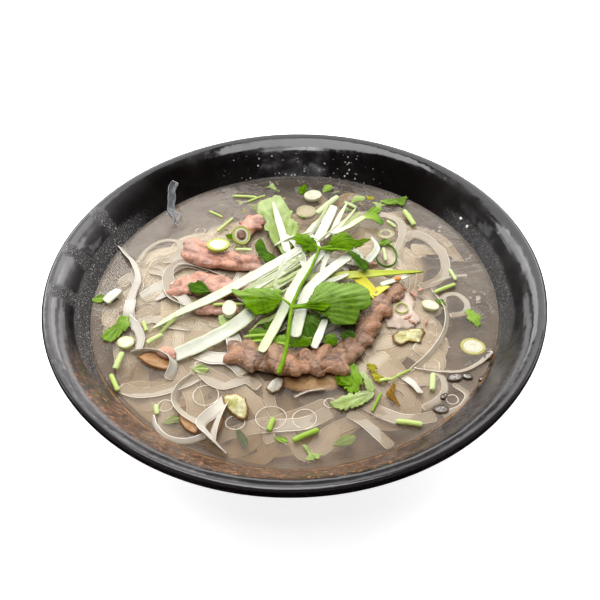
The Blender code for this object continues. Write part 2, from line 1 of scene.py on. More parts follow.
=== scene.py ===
"""Looks of the pho noodle soup: glazed bowl, clear broth, flat rice noodles, beef, scallion and coriander.

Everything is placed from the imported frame. Places in the tables below are x, y and the height over the
soup's level, in millimetres; angles are in degrees.
"""
import json
import math
import random
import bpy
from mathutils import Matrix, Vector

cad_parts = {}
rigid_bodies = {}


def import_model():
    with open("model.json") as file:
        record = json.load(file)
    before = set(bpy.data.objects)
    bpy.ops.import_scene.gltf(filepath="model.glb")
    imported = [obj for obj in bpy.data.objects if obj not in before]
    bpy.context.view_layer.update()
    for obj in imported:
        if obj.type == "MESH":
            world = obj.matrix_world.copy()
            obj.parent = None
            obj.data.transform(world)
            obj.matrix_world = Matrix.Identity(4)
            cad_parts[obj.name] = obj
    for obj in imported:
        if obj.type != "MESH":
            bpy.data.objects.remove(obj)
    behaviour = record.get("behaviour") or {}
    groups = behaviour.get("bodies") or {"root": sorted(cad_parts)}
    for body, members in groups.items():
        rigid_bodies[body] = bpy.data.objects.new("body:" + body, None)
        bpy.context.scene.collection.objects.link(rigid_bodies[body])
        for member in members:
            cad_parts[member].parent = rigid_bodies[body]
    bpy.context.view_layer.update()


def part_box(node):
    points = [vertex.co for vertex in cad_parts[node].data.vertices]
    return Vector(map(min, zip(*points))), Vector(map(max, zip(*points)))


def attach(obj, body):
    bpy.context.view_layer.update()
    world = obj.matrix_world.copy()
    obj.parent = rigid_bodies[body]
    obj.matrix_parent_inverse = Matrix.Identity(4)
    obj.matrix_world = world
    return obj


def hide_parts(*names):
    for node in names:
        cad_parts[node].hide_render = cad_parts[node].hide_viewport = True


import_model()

from types import SimpleNamespace

import bpy
import bmesh
from mathutils import Matrix, Vector, kdtree, noise

MM = 0.001
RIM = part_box("bowl")[1]
RIM_RADIUS = RIM.x
BOWL_HEIGHT = RIM.z
SOUP_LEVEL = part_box("broth")[1].z

# Bowl, as in the part's own source
MOUTH_RADIUS = 109.5 * MM
FLOOR_HEIGHT = 9.0 * MM
WALL = 4.2 * MM
WALL_SLOPE = 1.06
KNEE_SOFTNESS = 14.0 * MM
FOOT_RADIUS = 41.0 * MM
FOOT_WIDTH = 5.0 * MM
FOOT_RECESS = 5.0 * MM
BOWL_SEGMENTS = 240

# Glaze: directions of the pitted bands on the left, in radians from the left towards the back
PITTED_ANGLES = (0.48, 0.22, -0.03)

# Broth: depth of the bed under it, rings of the bed, and ovals (x, y, half width, half depth) painted there
MURK_DEPTH = 10.0 * MM
BED_SHARES = [0.04 * step for step in range(24, 0, -1)]
BEDS = ((-8, -13, 74, 65), (20, 56, 38, 17), (53, 32, 14, 18), (-26, 58, 20, 13))
# An oval at the back painted darker: painted shade where the broth mirrors the dark far wall.
PAINTED_SHADE_BACK = (6, 97, 78, 20)
# An oval at the back left painted paler: a painted haze of reflected light.
PAINTED_HAZE_BACK = (-52, 62, 46, 34)

# Sunken noodles: how many there are, which are for the two crowds and which for the hazy spots at the back
SUNKEN = 158
FIRST_CROWDED = 110
FIRST_HAZY = 146
NOODLE_REACH = 88.0
ZONE = SimpleNamespace(x=-9.0, y=-14.0, wide=74.0, deep=66.0)
HAZY_BACK = ((52, 34), (14, 58), (38, 52), (56, 26), (24, 60), (-20, 60))
CLEAR_WINDOWS = ((-81, 20, 7), (-81, -2, 7), (-66, -38, 9), (-46, -77, 8), (-32, -80, 7), (7, -44, 14),
                 (39, -64, 6))


# ---------------------------------------------------------------- curve of the bowl's inside

def soft_rise(height):
    """How far the inside has spread at a height, before it is fitted to the mouth."""
    bend = WALL_SLOPE * KNEE_SOFTNESS
    return KNEE_SOFTNESS * math.log(math.exp((height - FLOOR_HEIGHT) / bend) - 1.0)


def inside_radius(height):
    return MOUTH_RADIUS + soft_rise(height) - soft_rise(BOWL_HEIGHT)


def inside_height(radius):
    knee = MOUTH_RADIUS - soft_rise(BOWL_HEIGHT)
    bend = WALL_SLOPE * KNEE_SOFTNESS
    return FLOOR_HEIGHT + bend * math.log(1.0 + math.exp((radius - knee) / KNEE_SOFTNESS))


def between(value, low, high):
    return min(max(value, low), high)


# ---------------------------------------------------------------- shader helpers

class Signal:
    """What a shader node gives out; sums, products and so on with others or numbers become Math nodes."""

    def __init__(self, socket):
        self.socket = socket
        self.tree = socket.id_data

    def __add__(self, other):
        return maths("ADD", self, other)

    def __sub__(self, other):
        return maths("SUBTRACT", self, other)

    def __rsub__(self, other):
        return maths("SUBTRACT", other, self)

    def __mul__(self, other):
        return maths("MULTIPLY", self, other)

    def __truediv__(self, other):
        return maths("DIVIDE", self, other)

    def __pow__(self, other):
        return maths("POWER", self, other)

    def __abs__(self):
        return maths("ABSOLUTE", self)


def connect(socket, value):
    """Feeds a node's input with a signal, a number, a vector or a colour."""
    if isinstance(value, Signal):
        value.tree.links.new(value.socket, socket)
    elif socket.type == "RGBA":
        socket.default_value = (*value, 1.0)
    else:
        socket.default_value = value


def node(tree, kind, inputs=None, **settings):
    made = tree.nodes.new("ShaderNode" + kind)
    for key, value in settings.items():
        setattr(made, key, value)
    for key, value in (inputs or {}).items():
        connect(made.inputs[key], value)
    return made


def signal(tree, kind, inputs=None, output=0, **settings):
    return Signal(node(tree, kind, inputs, **settings).outputs[output])


def maths(operation, *values):
    tree = next(value.tree for value in values if isinstance(value, Signal))
    return signal(tree, "Math", dict(enumerate(values)), operation=operation)


def split(where):
    """The x, y and z of a vector."""
    return [Signal(socket) for socket in node(where.tree, "SeparateXYZ", {0: where}).outputs]


def spread(value, low, high, start=0.0, end=1.0):
    """Maps low..high to start..end with soft ends."""
    inputs = {"Value": value, "From Min": low, "From Max": high, "To Min": start, "To Max": end}
    return signal(value.tree, "MapRange", inputs, interpolation_type="SMOOTHSTEP")


def cloud(where, scale, detail=3.0, roughness=0.55, distortion=0.0):
    inputs = {"Vector": where, "Scale": scale, "Detail": detail, "Roughness": roughness,
              "Distortion": distortion}
    return signal(where.tree, "TexNoise", inputs)


def stretched(where, scale, turn=(0.0, 0.0, 0.0)):
    return signal(where.tree, "Mapping", {"Vector": where, "Scale": scale, "Rotation": turn})


def blend(share, first, second):
    return signal(share.tree, "Mix", {0: share, 6: first, 7: second}, 2, data_type="RGBA")


def oval(axes, x, y, wide, deep, ragged=None):
    """How far a place is from an oval's middle: 1 on its outline. All in millimetres."""
    across = (axes[0] - x * MM) / (wide * MM)
    along = (axes[1] - y * MM) / (deep * MM)
    apart = maths("SQRT", across ** 2.0 + along ** 2.0)
    return apart + (ragged - 0.5) * 0.9 if ragged else apart


def relief(shader, height, depth, strength=1.0, under=None):
    """Bumps of a depth in millimetres, laid over the relief under, if there is one."""
    inputs = {"Height": height, "Distance": depth * MM, "Strength": strength}
    if under:
        inputs["Normal"] = under
    made = signal(height.tree, "Bump", inputs)
    connect(shader.inputs["Normal"], made)
    return made


MATERIALS = {}


class Paint:
    """A material in the making: its nodes and its main shader."""

    def __init__(self, name):
        self.name = name
        self.material = bpy.data.materials.new(name)
        self.material.use_nodes = True
        self.tree = self.material.node_tree
        self.shader = self.tree.nodes["Principled BSDF"]

    def place(self):
        return signal(self.tree, "TexCoord", output="Object")

    def given(self, name, output="Fac"):
        """A value that was written on each point of the piece."""
        return signal(self.tree, "Attribute", output=output, attribute_name=name)

    def grain(self):
        """Place along and across a piece, in its own flat frame."""
        return self.given("grain", "Vector")

    def finish(self, colour, roughness, bumps=None, depth=0.0, strength=1.0, gloss=None, index=None):
        """Feeds the shader and files the material by name; gloss is its specular level, index its IOR."""
        for key, value in (("Base Color", colour), ("Roughness", roughness), ("Specular IOR Level", gloss),
                           ("IOR", index)):
            if value is not None:
                connect(self.shader.inputs[key], value)
        if bumps:
            relief(self.shader, bumps, depth, strength)
        MATERIALS[self.name] = self.material
        return self.material


# ---------------------------------------------------------------- bowl's glaze

def glaze_zones(where):
    """Masks of the bowl's parts, the textures of its wear and the directions that the wear is painted by."""
    x, y, height = split(where)
    zone = SimpleNamespace(where=where, height=height)
    zone.angle = maths("ARCTAN2", y, x)
    zone.from_front = maths("ARCTAN2", x * -1.0, y * -1.0)
    zone.radius = maths("SQRT", x ** 2.0 + y ** 2.0)
    zone.from_left = maths("ARCTAN2", y, x * -1.0)
    soup_radius = inside_radius(SOUP_LEVEL)
    slope = (BOWL_HEIGHT - SOUP_LEVEL) / (MOUTH_RADIUS - soup_radius)
    over_wall = height - maths("MULTIPLY_ADD", zone.radius, slope, SOUP_LEVEL - soup_radius * slope)
    zone.upper_side = spread(over_wall, -3.5 * MM, -2.0 * MM) * spread(zone.radius, 86.0 * MM, 92.0 * MM)
    zone.inside = spread(zone.radius, 110.0 * MM, 107.0 * MM) * zone.upper_side
    zone.front = spread(y, -10.0 * MM, -75.0 * MM) * zone.inside
    zone.rubbed = spread(abs(zone.from_front - 0.35), 0.98, 0.45) * zone.inside
    zone.patches = cloud(where, 38.0, 4.0, 0.6)
    zone.speckle = cloud(where, 1500.0, 2.0, 0.6)
    zone.streaks = cloud(where, 210.0, 5.0, 0.7, 0.6)
    return zone


def plain_glaze(zone):
    """Brown-black glaze, worn at the bead of the rim, with a painted sheen of light on the lip at the left.
    """
    base = blend(spread(zone.patches, 0.35, 0.72), (0.0032, 0.0021, 0.0022), (0.0088, 0.0062, 0.0063))
    base = blend(spread(cloud(zone.where, 900.0, 3.0, 0.7), 0.62, 0.82), base, (0.020, 0.015, 0.015))
    top = spread(zone.height, BOWL_HEIGHT - 1.6 * MM, BOWL_HEIGHT - 0.8 * MM)
    worn_bead = spread(zone.radius, 111.5 * MM, 113.0 * MM) * top
    base = blend(worn_bead * 0.5, base, (0.036, 0.032, 0.033))
    lip = spread(zone.radius, 102.5 * MM, 110.0 * MM) * spread(zone.radius, 112.6 * MM, 111.2 * MM)
    # A pale band on the lip at the left: a painted sheen standing in for the highlight there.
    painted_sheen = lip * spread(abs(zone.from_left + 0.12), 1.0, 0.35) * zone.upper_side
    return blend(painted_sheen * spread(zone.patches, 0.3, 0.65, 0.55, 0.95), base, (0.125, 0.118, 0.122))


def front_wear(base, zone):
    """Grey dust on the front of the inner wall, rubbed rusty and a little mossy towards the left."""
    streaky = spread(zone.streaks, 0.28, 0.62)
    base = blend(zone.front * streaky * 0.80, base, (0.046, 0.037, 0.037))
    base = blend(zone.rubbed * streaky * 0.85, base, (0.110, 0.054, 0.028))
    rust = zone.rubbed * spread(cloud(zone.where, 430.0, 4.0, 0.75), 0.54, 0.63)
    base = blend(rust * 0.9, base, (0.42, 0.185, 0.085))
    mossy = zone.rubbed * spread(cloud(zone.where, 430.0, 3.0, 0.7, 1.0), 0.60, 0.72)
    return blend(mossy * 0.4, base, (0.15, 0.14, 0.11))


def pitted_mask(zone):
    """Pitted bands on the left and pitted shores beside the soup on the left and the right."""
    pitted = None
    for middle in PITTED_ANGLES:
        ragged = (zone.streaks - 0.5) * 0.08
        band_here = spread(abs(zone.from_left - middle + ragged), 0.040, 0.022)
        pitted = maths("MAXIMUM", pitted, band_here) if pitted else band_here
    for side, middle, reach, strength in ((zone.angle, 0.10, 0.62, 0.35), (zone.from_left, 0.0, 0.80, 0.9)):
        shore = spread(zone.radius, 102.0 * MM, 99.0 * MM) * spread(abs(side - middle), reach, 0.40)
        pitted = maths("MAXIMUM", pitted, shore * strength)
    return pitted * spread(zone.radius, 114.0 * MM, 112.6 * MM) * zone.upper_side


def glint_dots_mask(zone):
    """Pale dots on the far wall: painted glints of light."""
    far = spread(abs(zone.angle - 1.50), 0.50, 0.20)
    low = spread(zone.height, BOWL_HEIGHT - 3.5 * MM, BOWL_HEIGHT - 7.0 * MM)
    cells = signal(zone.where.tree, "TexVoronoi", {"Vector": zone.where, "Scale": 430.0}, "Distance")
    some = spread(cloud(zone.where, 260.0, 2.0), 0.48, 0.56)
    return far * low * zone.inside * spread(cells, 0.25, 0.13) * some


def glaze_material():
    """Black-brown glaze, rubbed rusty on the left front of the inner wall, pitted in bands on the left."""
    paint = Paint("glaze")
    zone = glaze_zones(paint.place())
    pitted = pitted_mask(zone)
    base = front_wear(plain_glaze(zone), zone)
    base = blend(pitted * 0.8, base, (0.003, 0.002, 0.002))
    # Pale flecks in the pitted bands: painted glints where the pits catch the light.
    base = blend(pitted * spread(zone.speckle, 0.60, 0.66) * 0.9, base, (0.46, 0.42, 0.41))
    # Pale dots on the far wall: painted glints.
    base = blend(glint_dots_mask(zone) * 0.8, base, (0.75, 0.74, 0.72))
    wet_line = spread(abs(zone.height - (SOUP_LEVEL + 0.8 * MM)), 0.8 * MM, 0.3 * MM)
    wet_line = wet_line * zone.front * spread(zone.streaks, 0.3, 0.6)
    base = blend(wet_line * 0.8, base, (0.36, 0.17, 0.05))

    lip = spread(zone.radius, 103.0 * MM, 108.0 * MM)
    rough = spread(cloud(zone.where, 70.0, 5.0, 0.65, 0.8), 0.35, 0.75, 0.10, 0.20)
    rough = rough + lip * spread(zone.patches, 0.3, 0.7, -0.04, 0.05) + zone.front * 0.12 + pitted * 0.06
    wavy = relief(paint.shader, cloud(zone.where, 42.0, 3.0, 0.5), 1.2, 0.6)
    bumps = zone.speckle * (pitted * 1.5 + 0.02) + zone.streaks * (zone.rubbed * 0.5)
    relief(paint.shader, bumps, 0.5, 0.8, wavy)
    return paint.finish(base, rough, index=1.62)


# ---------------------------------------------------------------- broth

def broth_top_material():
    """Clear amber broth seen from above: see-through, a little milky, with a mirror of a surface."""
    paint = Paint("broth_top")
    where = paint.place()
    axes = split(where)
    fog = cloud(where, 42.0, 4.0, 0.55, 0.5)
    colour = blend(spread(fog, 0.3, 0.7), (0.38, 0.28, 0.20), (0.52, 0.43, 0.33))
    # Milkier at the left edge: a painted haze standing in for reflected light.
    hazy = spread(axes[0], -76.0 * MM, -92.0 * MM)
    # Less milky at the back: painted shade where the broth mirrors the dark far wall.
    dim = spread(oval(axes, *PAINTED_SHADE_BACK), 1.1, 0.6)
    share = (spread(fog, 0.25, 0.75, 0.10, 0.21) + hazy * 0.05) * (1.0 - dim * 0.7)
    clear = signal(paint.tree, "BsdfTransparent", {0: (0.97, 0.93, 0.86)})
    milky = signal(paint.tree, "MixShader", {0: share, 1: clear, 2: Signal(paint.shader.outputs[0])})
    mirror = node(paint.tree, "BsdfAnisotropic", {"Color": (1.0, 1.0, 1.0), "Roughness": 0.05})
    relief(mirror, cloud(where, 75.0, 4.0, 0.6, 1.0), 0.9, 0.5)
    angle = signal(paint.tree, "Fresnel", {"IOR": 1.33})
    surface = signal(paint.tree, "MixShader", {0: angle, 1: milky, 2: Signal(mirror.outputs[0])})
    connect(paint.tree.nodes["Material Output"].inputs["Surface"], surface)
    return paint.finish(colour, 0.5, gloss=0.0)


def broth_deep_material():
    """What the eye meets under clear broth: dim brown depth with pale clouds of starch and noodle."""
    paint = Paint("broth_deep")
    where = paint.place()
    axes = split(where)
    broad = cloud(where, 26.0, 4.0, 0.6, 0.8)
    fine = cloud(where, 120.0, 4.0, 0.6, 1.5)
    colour = blend(spread(broad, 0.36, 0.66), (0.048, 0.033, 0.025), (0.112, 0.079, 0.059))
    colour = blend(spread(fine, 0.50, 0.72, 0.0, 0.4), colour, (0.17, 0.115, 0.07))
    colour = blend(spread(axes[1], 0.0, -85 * MM) * 0.6, colour, (0.19, 0.10, 0.04))
    # Darker at the back: painted shade where the broth mirrors the dark far wall.
    colour = blend(spread(oval(axes, *PAINTED_SHADE_BACK), 1.2, 0.6) * 0.8, colour, (0.022, 0.016, 0.013))
    # Paler at the back left: a painted haze of reflected light.
    colour = blend(spread(oval(axes, *PAINTED_HAZE_BACK), 1.1, 0.5) * 0.8, colour, (0.190, 0.150, 0.126))
    bed = None
    for place in BEDS:
        here = spread(oval(axes, *place, broad), 1.05, 0.70)
        bed = maths("MAXIMUM", bed, here) if bed else here
    starch = spread(fine, 0.35, 0.68)
    bedding = blend(starch, (0.50, 0.40, 0.28), (0.68, 0.58, 0.44))
    bright = blend(starch, (0.74, 0.66, 0.53), (0.86, 0.80, 0.68))
    crowded = spread(axes[0], -22 * MM, -48 * MM) * spread(axes[1], -38 * MM, -12 * MM)
    bedding = blend(crowded, bedding, bright)
    shaded = blend(starch, (0.13, 0.072, 0.028), (0.20, 0.118, 0.052))
    bedding = blend(spread(axes[1] - axes[0] * 0.25, -18 * MM, -48 * MM), bedding, shaded)
    return paint.finish(blend(bed, colour, bedding), 0.6, fine, 1.5, 0.5)


# ---------------------------------------------------------------- food

def noodle_material(name, centre, edge, wet=0.3, clear=0.25, gloss=0.0, edge_shade=0.0):
    """Rice noodle: pale, with whiter edges as a painted edge highlight, sinking into the broth's colour with
    depth.

    clear is how see-through its middle is; its edges stay solid. edge_shade is how strongly a darker amber
    line of painted shade shows just inside each edge."""
    paint = Paint(name)
    sunk = paint.given("sunk")
    border = paint.given("rim")
    # Whiter edges: a painted edge highlight, weaker on sunken noodles.
    rim = spread(border, 0.62, 1.0) * spread(sunk, 0.1, 0.8, 1.0, 0.45)
    pale = tuple(0.6 * c + 0.4 * e for c, e in zip(centre, edge))
    colour = blend(spread(cloud(paint.grain(), 110.0, 3.0, 0.5), 0.32, 0.70), centre, pale)
    # A darker amber line just inside each edge: painted shade.
    edge_shade_band = spread(border, 0.46, 0.60) * spread(border, 0.84, 0.70)
    colour = blend(edge_shade_band * edge_shade, colour, (0.36, 0.25, 0.14))
    colour = blend(rim, colour, edge)
    colour = blend(sunk, colour, (0.27, 0.18, 0.10))
    connect(paint.shader.inputs["Alpha"], spread(rim, 0.0, 1.0, 1.0 - clear, 1.0))
    return paint.finish(colour, wet, gloss=gloss, index=1.38)


def beef_material(name, dark, flesh, pale, warm, mauve):
    """Boiled beef: folds of differing browns with paler fibre, wet; its dark creases are painted shade, its
    pale flecks painted wet glints, and it is painted darker near the soup as shade.
    """
    paint = Paint(name)
    where = paint.place()
    fibre = cloud(stretched(where, (1.0, 2.8, 1.6), (0.3, 0.2, 0.5)), 480.0, 5.0, 0.7, 0.4)
    patches = cloud(where, 150.0, 4.0, 0.6)
    tone = paint.given("tone")
    colour = blend(spread(patches, 0.36, 0.64), dark, flesh)
    colour = blend(spread(tone, 0.60, 0.85, 0.0, 0.55), colour, warm)
    colour = blend(spread(tone, 0.40, 0.15, 0.0, 0.60), colour, mauve)
    colour = blend(spread(fibre, 0.50, 0.72, 0.0, 0.6), colour, pale)
    # Pale flecks and fine lines: painted wet glints.
    film = spread(cloud(where, 300.0, 4.0, 0.7, 2.4), 0.60, 0.70) * 0.45
    colour = blend(film, colour, tuple(0.5 * part + 0.40 for part in pale))
    # Darker in the creases between folds and lobes: painted shade.
    crease_shade = spread(paint.given("crease_shade"), 0.44, 0.12, 0.0, 0.62)
    colour = blend(crease_shade, colour, tuple(0.38 * part for part in dark))
    # Darker just above the soup: painted shade along the meat's lower edge.
    shade_near_soup = spread(split(where)[2], SOUP_LEVEL + 1.8 * MM, SOUP_LEVEL + 0.4 * MM, 0.0, 0.55)
    colour = blend(shade_near_soup, colour, tuple(0.5 * part for part in dark))
    wet = spread(patches, 0.3, 0.7, 0.07, 0.20)
    return paint.finish(colour, wet, fibre + patches * 0.6, 0.7, 0.8, gloss=0.8)


def fat_material(name, pale, shade, spots, border=None):
    """Fat, rind and other thin sheets: mottled and spotted, some with a darker ragged border."""
    paint = Paint(name)
    where = paint.place()
    mottle = cloud(where, 190.0, 4.0, 0.6, 0.8)
    colour = blend(spread(mottle, 0.38, 0.62), shade, pale)
    colour = blend(spread(cloud(where, 300.0, 3.0, 0.6, 1.5), 0.60, 0.70, 0.0, 0.8), colour, spots)
    if border:
        colour = blend(spread(paint.given("rim") + mottle * 0.5, 0.86, 1.12), colour, border)
    return paint.finish(colour, 0.28, mottle, 0.6, 0.7, gloss=0.3)


def scallion_material():
    """White to green scallion flesh with long fibres; the green share is painted on each piece."""
    paint = Paint("scallion")
    grain = paint.grain()
    green = paint.given("green")
    fibre = cloud(stretched(grain, (0.10, 1.0, 1.0)), 1500.0, 3.0, 0.6)
    colour = blend(spread(cloud(grain, 180.0, 3.0, 0.6), 0.3, 0.7), (0.68, 0.685, 0.56), (0.79, 0.79, 0.72))
    colour = blend(spread(fibre, 0.48, 0.72, 0.0, 0.50), colour, (0.52, 0.58, 0.30))
    colour = blend(spread(green, 0.06, 0.50), colour, (0.50, 0.62, 0.17))
    colour = blend(spread(green, 0.40, 0.75), colour, (0.25, 0.41, 0.03))
    colour = blend(spread(green, 0.75, 1.0), colour, (0.06, 0.18, 0.010))
    colour = blend(paint.given("yellow"), colour, (0.66, 0.60, 0.03))
    return paint.finish(colour, 0.32, fibre, 0.18, 0.5, gloss=0.15)


def leaf_material(name, dark, light, vein, gloss=0.0, pale=(0.24, 0.37, 0.085)):
    """Coriander leaf: veins over a mottled green that pales towards the edges and where it catches light."""
    paint = Paint(name)
    grain = paint.grain()
    veins = paint.given("vein")
    fine = cloud(grain, 1200.0, 2.0, 0.6)
    colour = blend(spread(cloud(grain, 130.0, 4.0, 0.6), 0.30, 0.70), dark, light)
    colour = blend(paint.given("rim") * 0.4, colour, light)
    colour = blend(paint.given("pale"), colour, pale)
    colour = blend(veins * 0.5, colour, vein)
    rough = spread(fine, 0.3, 0.7, 0.32, 0.5)
    return paint.finish(colour, rough, fine * 0.35 + veins * -0.8, 0.3, 0.8, gloss, None if gloss else 1.0)


def stem_material():
    """The sprig's own stalk, a fresh yellow-green."""
    paint = Paint("stem")
    fog = cloud(stretched(paint.place(), (2.5, 0.6, 1.0)), 420.0, 3.0, 0.6)
    colour = blend(spread(fog, 0.32, 0.68), (0.11, 0.23, 0.004), (0.21, 0.37, 0.015))
    return paint.finish(colour, 0.35, fog, 0.2, 0.5, gloss=0.06)


def slice_material(name, core_dark, core_pale, skin):
    """Cut face of a scallion: from its middle out a whitish core, faint rings and a yellow-green skin."""
    paint = Paint(name)
    grain = paint.grain()
    fog = cloud(grain, 420.0, 4.0, 0.6)
    uneven = paint.given("core") + (cloud(grain, 260.0) - 0.5) * 0.22
    rings = maths("SINE", uneven * 26.0)
    colour = blend(spread(fog, 0.3, 0.7), core_dark, core_pale)
    colour = blend(spread(rings, 0.0, 1.0, 0.0, 0.35), colour, (0.54, 0.56, 0.27))
    colour = blend(spread(uneven, 0.62, 0.86) * paint.given("green"), colour, skin)
    return paint.finish(colour, 0.25, rings + fog, 0.18, 0.5)


def bead_material():
    """A drop with a dark brown rim and a grey middle, a painted glassy reflection."""
    paint = Paint("bead")
    fog = cloud(paint.grain(), 700.0, 4.0, 0.7)
    # The grey middle is a painted reflection.
    middle = blend(spread(fog, 0.40, 0.62), (0.12, 0.10, 0.08), (0.46, 0.43, 0.39))
    edge = paint.given("core") + (fog - 0.5) * 0.5
    return paint.finish(blend(spread(edge, 0.55, 0.80), middle, (0.050, 0.028, 0.010)), 0.16, fog, 0.2, 0.6)


def plain_detail_material(name, first, second, roughness=0.3):
    """Two tones in soft patches, for the smallest things."""
    paint = Paint(name)
    fog = cloud(paint.place(), 400.0, 3.0, 0.6)
    return paint.finish(blend(spread(fog, 0.3, 0.7), first, second), roughness, fog, 0.2, 0.4)


def make_materials():
    glaze_material()
    broth_top_material()
    broth_deep_material()
    bead_material()
    scallion_material()
    stem_material()
    for row in (  # centre, edge with its painted highlight, roughness, see-through share, gloss, painted edge shade
        ("noodle", (0.56, 0.48, 0.36), (0.68, 0.61, 0.50)),
        ("clear_noodle", (0.58, 0.51, 0.41), (0.72, 0.66, 0.55), 0.12, 0.50, 0.3, 0.30),
        ("white_noodle", (0.72, 0.67, 0.58), (0.82, 0.79, 0.72), 0.12, 0.25, 0.4, 0.55),
        ("pale_noodle", (0.69, 0.62, 0.50), (0.78, 0.73, 0.62)),
        ("glassy_noodle", (0.10, 0.10, 0.105), (0.36, 0.38, 0.40), 0.08, 0.35, 0.5),
    ):
        noodle_material(*row)
    for row in (  # dark, flesh, pale fibre, warm folds, mauve folds
        ("beef", (0.145, 0.062, 0.027), (0.35, 0.173, 0.083), (0.68, 0.45, 0.27), (0.51, 0.23, 0.11),
         (0.34, 0.195, 0.125)),
        ("pink_beef", (0.36, 0.15, 0.095), (0.66, 0.33, 0.23), (0.86, 0.60, 0.46), (0.72, 0.33, 0.20),
         (0.62, 0.38, 0.31)),
    ):
        beef_material(*row)
    for row in (  # pale, shade, spots, border
        ("beef_fat", (0.66, 0.53, 0.43), (0.54, 0.42, 0.33), (0.52, 0.27, 0.19)),
        ("rind", (0.66, 0.63, 0.38), (0.42, 0.37, 0.10), (0.26, 0.13, 0.04), (0.22, 0.11, 0.03)),
        ("shell", (0.62, 0.58, 0.50), (0.40, 0.36, 0.28), (0.60, 0.56, 0.46), (0.17, 0.09, 0.03)),
        # pocket and sheet are the broth's amber, painted as shade where the sheen is kept off it.
        ("pocket", (0.56, 0.32, 0.15), (0.38, 0.19, 0.07), (0.28, 0.12, 0.035), (0.17, 0.07, 0.02)),
        ("sheet", (0.50, 0.33, 0.16), (0.36, 0.21, 0.085), (0.27, 0.13, 0.045), (0.25, 0.12, 0.04)),
    ):
        fat_material(*row)
    for row in (  # dark and pale core, skin
        ("scallion_slice", (0.66, 0.64, 0.48), (0.78, 0.77, 0.66), (0.44, 0.50, 0.05)),
        ("dim_slice", (0.56, 0.53, 0.38), (0.68, 0.66, 0.54), (0.40, 0.35, 0.07)),
    ):
        slice_material(*row)
    for row in (  # dark, light, veins, gloss, where it catches the light
        ("leaf", (0.032, 0.084, 0.001), (0.108, 0.228, 0.002), (0.17, 0.30, 0.012)),
        ("sheen_leaf", (0.030, 0.078, 0.001), (0.098, 0.185, 0.006), (0.16, 0.27, 0.03), 0.04),
        ("pale_leaf", (0.095, 0.215, 0.012), (0.25, 0.39, 0.055), (0.40, 0.53, 0.17), 0.0,
         (0.38, 0.53, 0.18)),
        ("faded_leaf", (0.21, 0.30, 0.07), (0.36, 0.46, 0.15), (0.52, 0.59, 0.29), 0.0, (0.49, 0.55, 0.31)),
        ("deep_leaf", (0.022, 0.066, 0.004), (0.07, 0.15, 0.012), (0.12, 0.22, 0.03)),
        ("bright_leaf", (0.07, 0.17, 0.005), (0.20, 0.36, 0.02), (0.31, 0.46, 0.06), 0.0, (0.34, 0.52, 0.13)),
        ("olive_leaf", (0.20, 0.17, 0.008), (0.42, 0.38, 0.03), (0.50, 0.44, 0.08)),
        ("brown_flake", (0.12, 0.06, 0.008), (0.26, 0.13, 0.02), (0.34, 0.18, 0.03)),
    ):
        leaf_material(*row)
    for row in (  # two tones, roughness
        ("oil", (0.60, 0.52, 0.42), (0.78, 0.70, 0.60), 0.12),
        ("carrot", (0.75, 0.22, 0.02), (0.85, 0.36, 0.05)),
        ("crumb", (0.72, 0.68, 0.60), (0.90, 0.88, 0.84)),
    ):
        plain_detail_material(*row)


# ---------------------------------------------------------------- shape helpers

def over_soup(x, y, height):
    return Vector((x * MM, y * MM, SOUP_LEVEL + height * MM))


def all_over_soup(places):
    return [over_soup(*place) for place in places]


def through(points, steps):
    """Points spread evenly along a smooth curve through the given points (Catmull-Rom)."""
    route = [Vector(point) for point in points]
    route = [route[0] * 2 - route[1]] + route + [route[-1] * 2 - route[-2]]
    fine = []
    for piece in range(len(route) - 3):
        before, start, end, after = route[piece:piece + 4]
        for part in range(16):
            t = part / 16
            fine.append(0.5 * (
                2 * start
                + (end - before) * t
                + (2 * before - 5 * start + 4 * end - after) * t ** 2
                + (3 * start - before - 3 * end + after) * t ** 3
            ))
    fine.append(route[-2])
    lengths = [0.0]
    for one, two in zip(fine, fine[1:]):
        lengths.append(lengths[-1] + (two - one).length)
    result = []
    index = 0
    for step in range(steps + 1):
        wanted = lengths[-1] * step / steps
        while index < len(fine) - 2 and lengths[index + 1] < wanted:
            index += 1
        share = (wanted - lengths[index]) / max(lengths[index + 1] - lengths[index], 1e-9)
        result.append(fine[index].lerp(fine[index + 1], between(share, 0.0, 1.0)))
    return result


def path_frames(route, up=(0.0, 0.0, 1.0)):
    """Point, direction, sideways and upward directions along a route."""
    result = []
    side = Vector((1.0, 0.0, 0.0))
    for index, point in enumerate(route):
        ahead = (route[min(index + 1, len(route) - 1)] - route[max(index - 1, 0)]).normalized()
        across = ahead.cross(Vector(up))
        if across.length >= 0.05:
            side = across.normalized()
        result.append((point, ahead, side, side.cross(ahead).normalized()))
    return result


def grid_faces(rows, columns, ring=True, loop=False):
    """Quads between rows of points; ring joins the last column to the first, loop the last row."""
    faces = []
    for row in range(rows if loop else rows - 1):
        after = (row + 1) % rows * columns
        for column in range(columns if ring else columns - 1):
            beside = (column + 1) % columns
            faces.append((row * columns + column, after + column, after + beside, row * columns + beside))
    return faces


def closed_faces(rows, columns):
    """Faces of a tube of rings, closed at both ends."""
    ends = [tuple(range(columns)), tuple(reversed(range((rows - 1) * columns, rows * columns)))]
    return grid_faces(rows, columns) + ends


def sheet_faces(rings, segments):
    """Faces of a thin sheet: rings of points on top and as many below, joined along the edge."""
    half = rings * segments
    edge = half - segments
    top = grid_faces(rings, segments) + [tuple(range(segments))]
    faces = top + [tuple(half + index for index in reversed(face)) for face in top]
    for segment in range(segments):
        here = edge + segment
        beside = edge + (segment + 1) % segments
        faces.append((here, half + here, half + beside, beside))
    return faces


def turned_points(profile, segments):
    turns = [math.tau * segment / segments for segment in range(segments)]
    return [
        Vector((radius * math.cos(turn), radius * math.sin(turn), height))
        for radius, height in profile
        for turn in turns
    ]


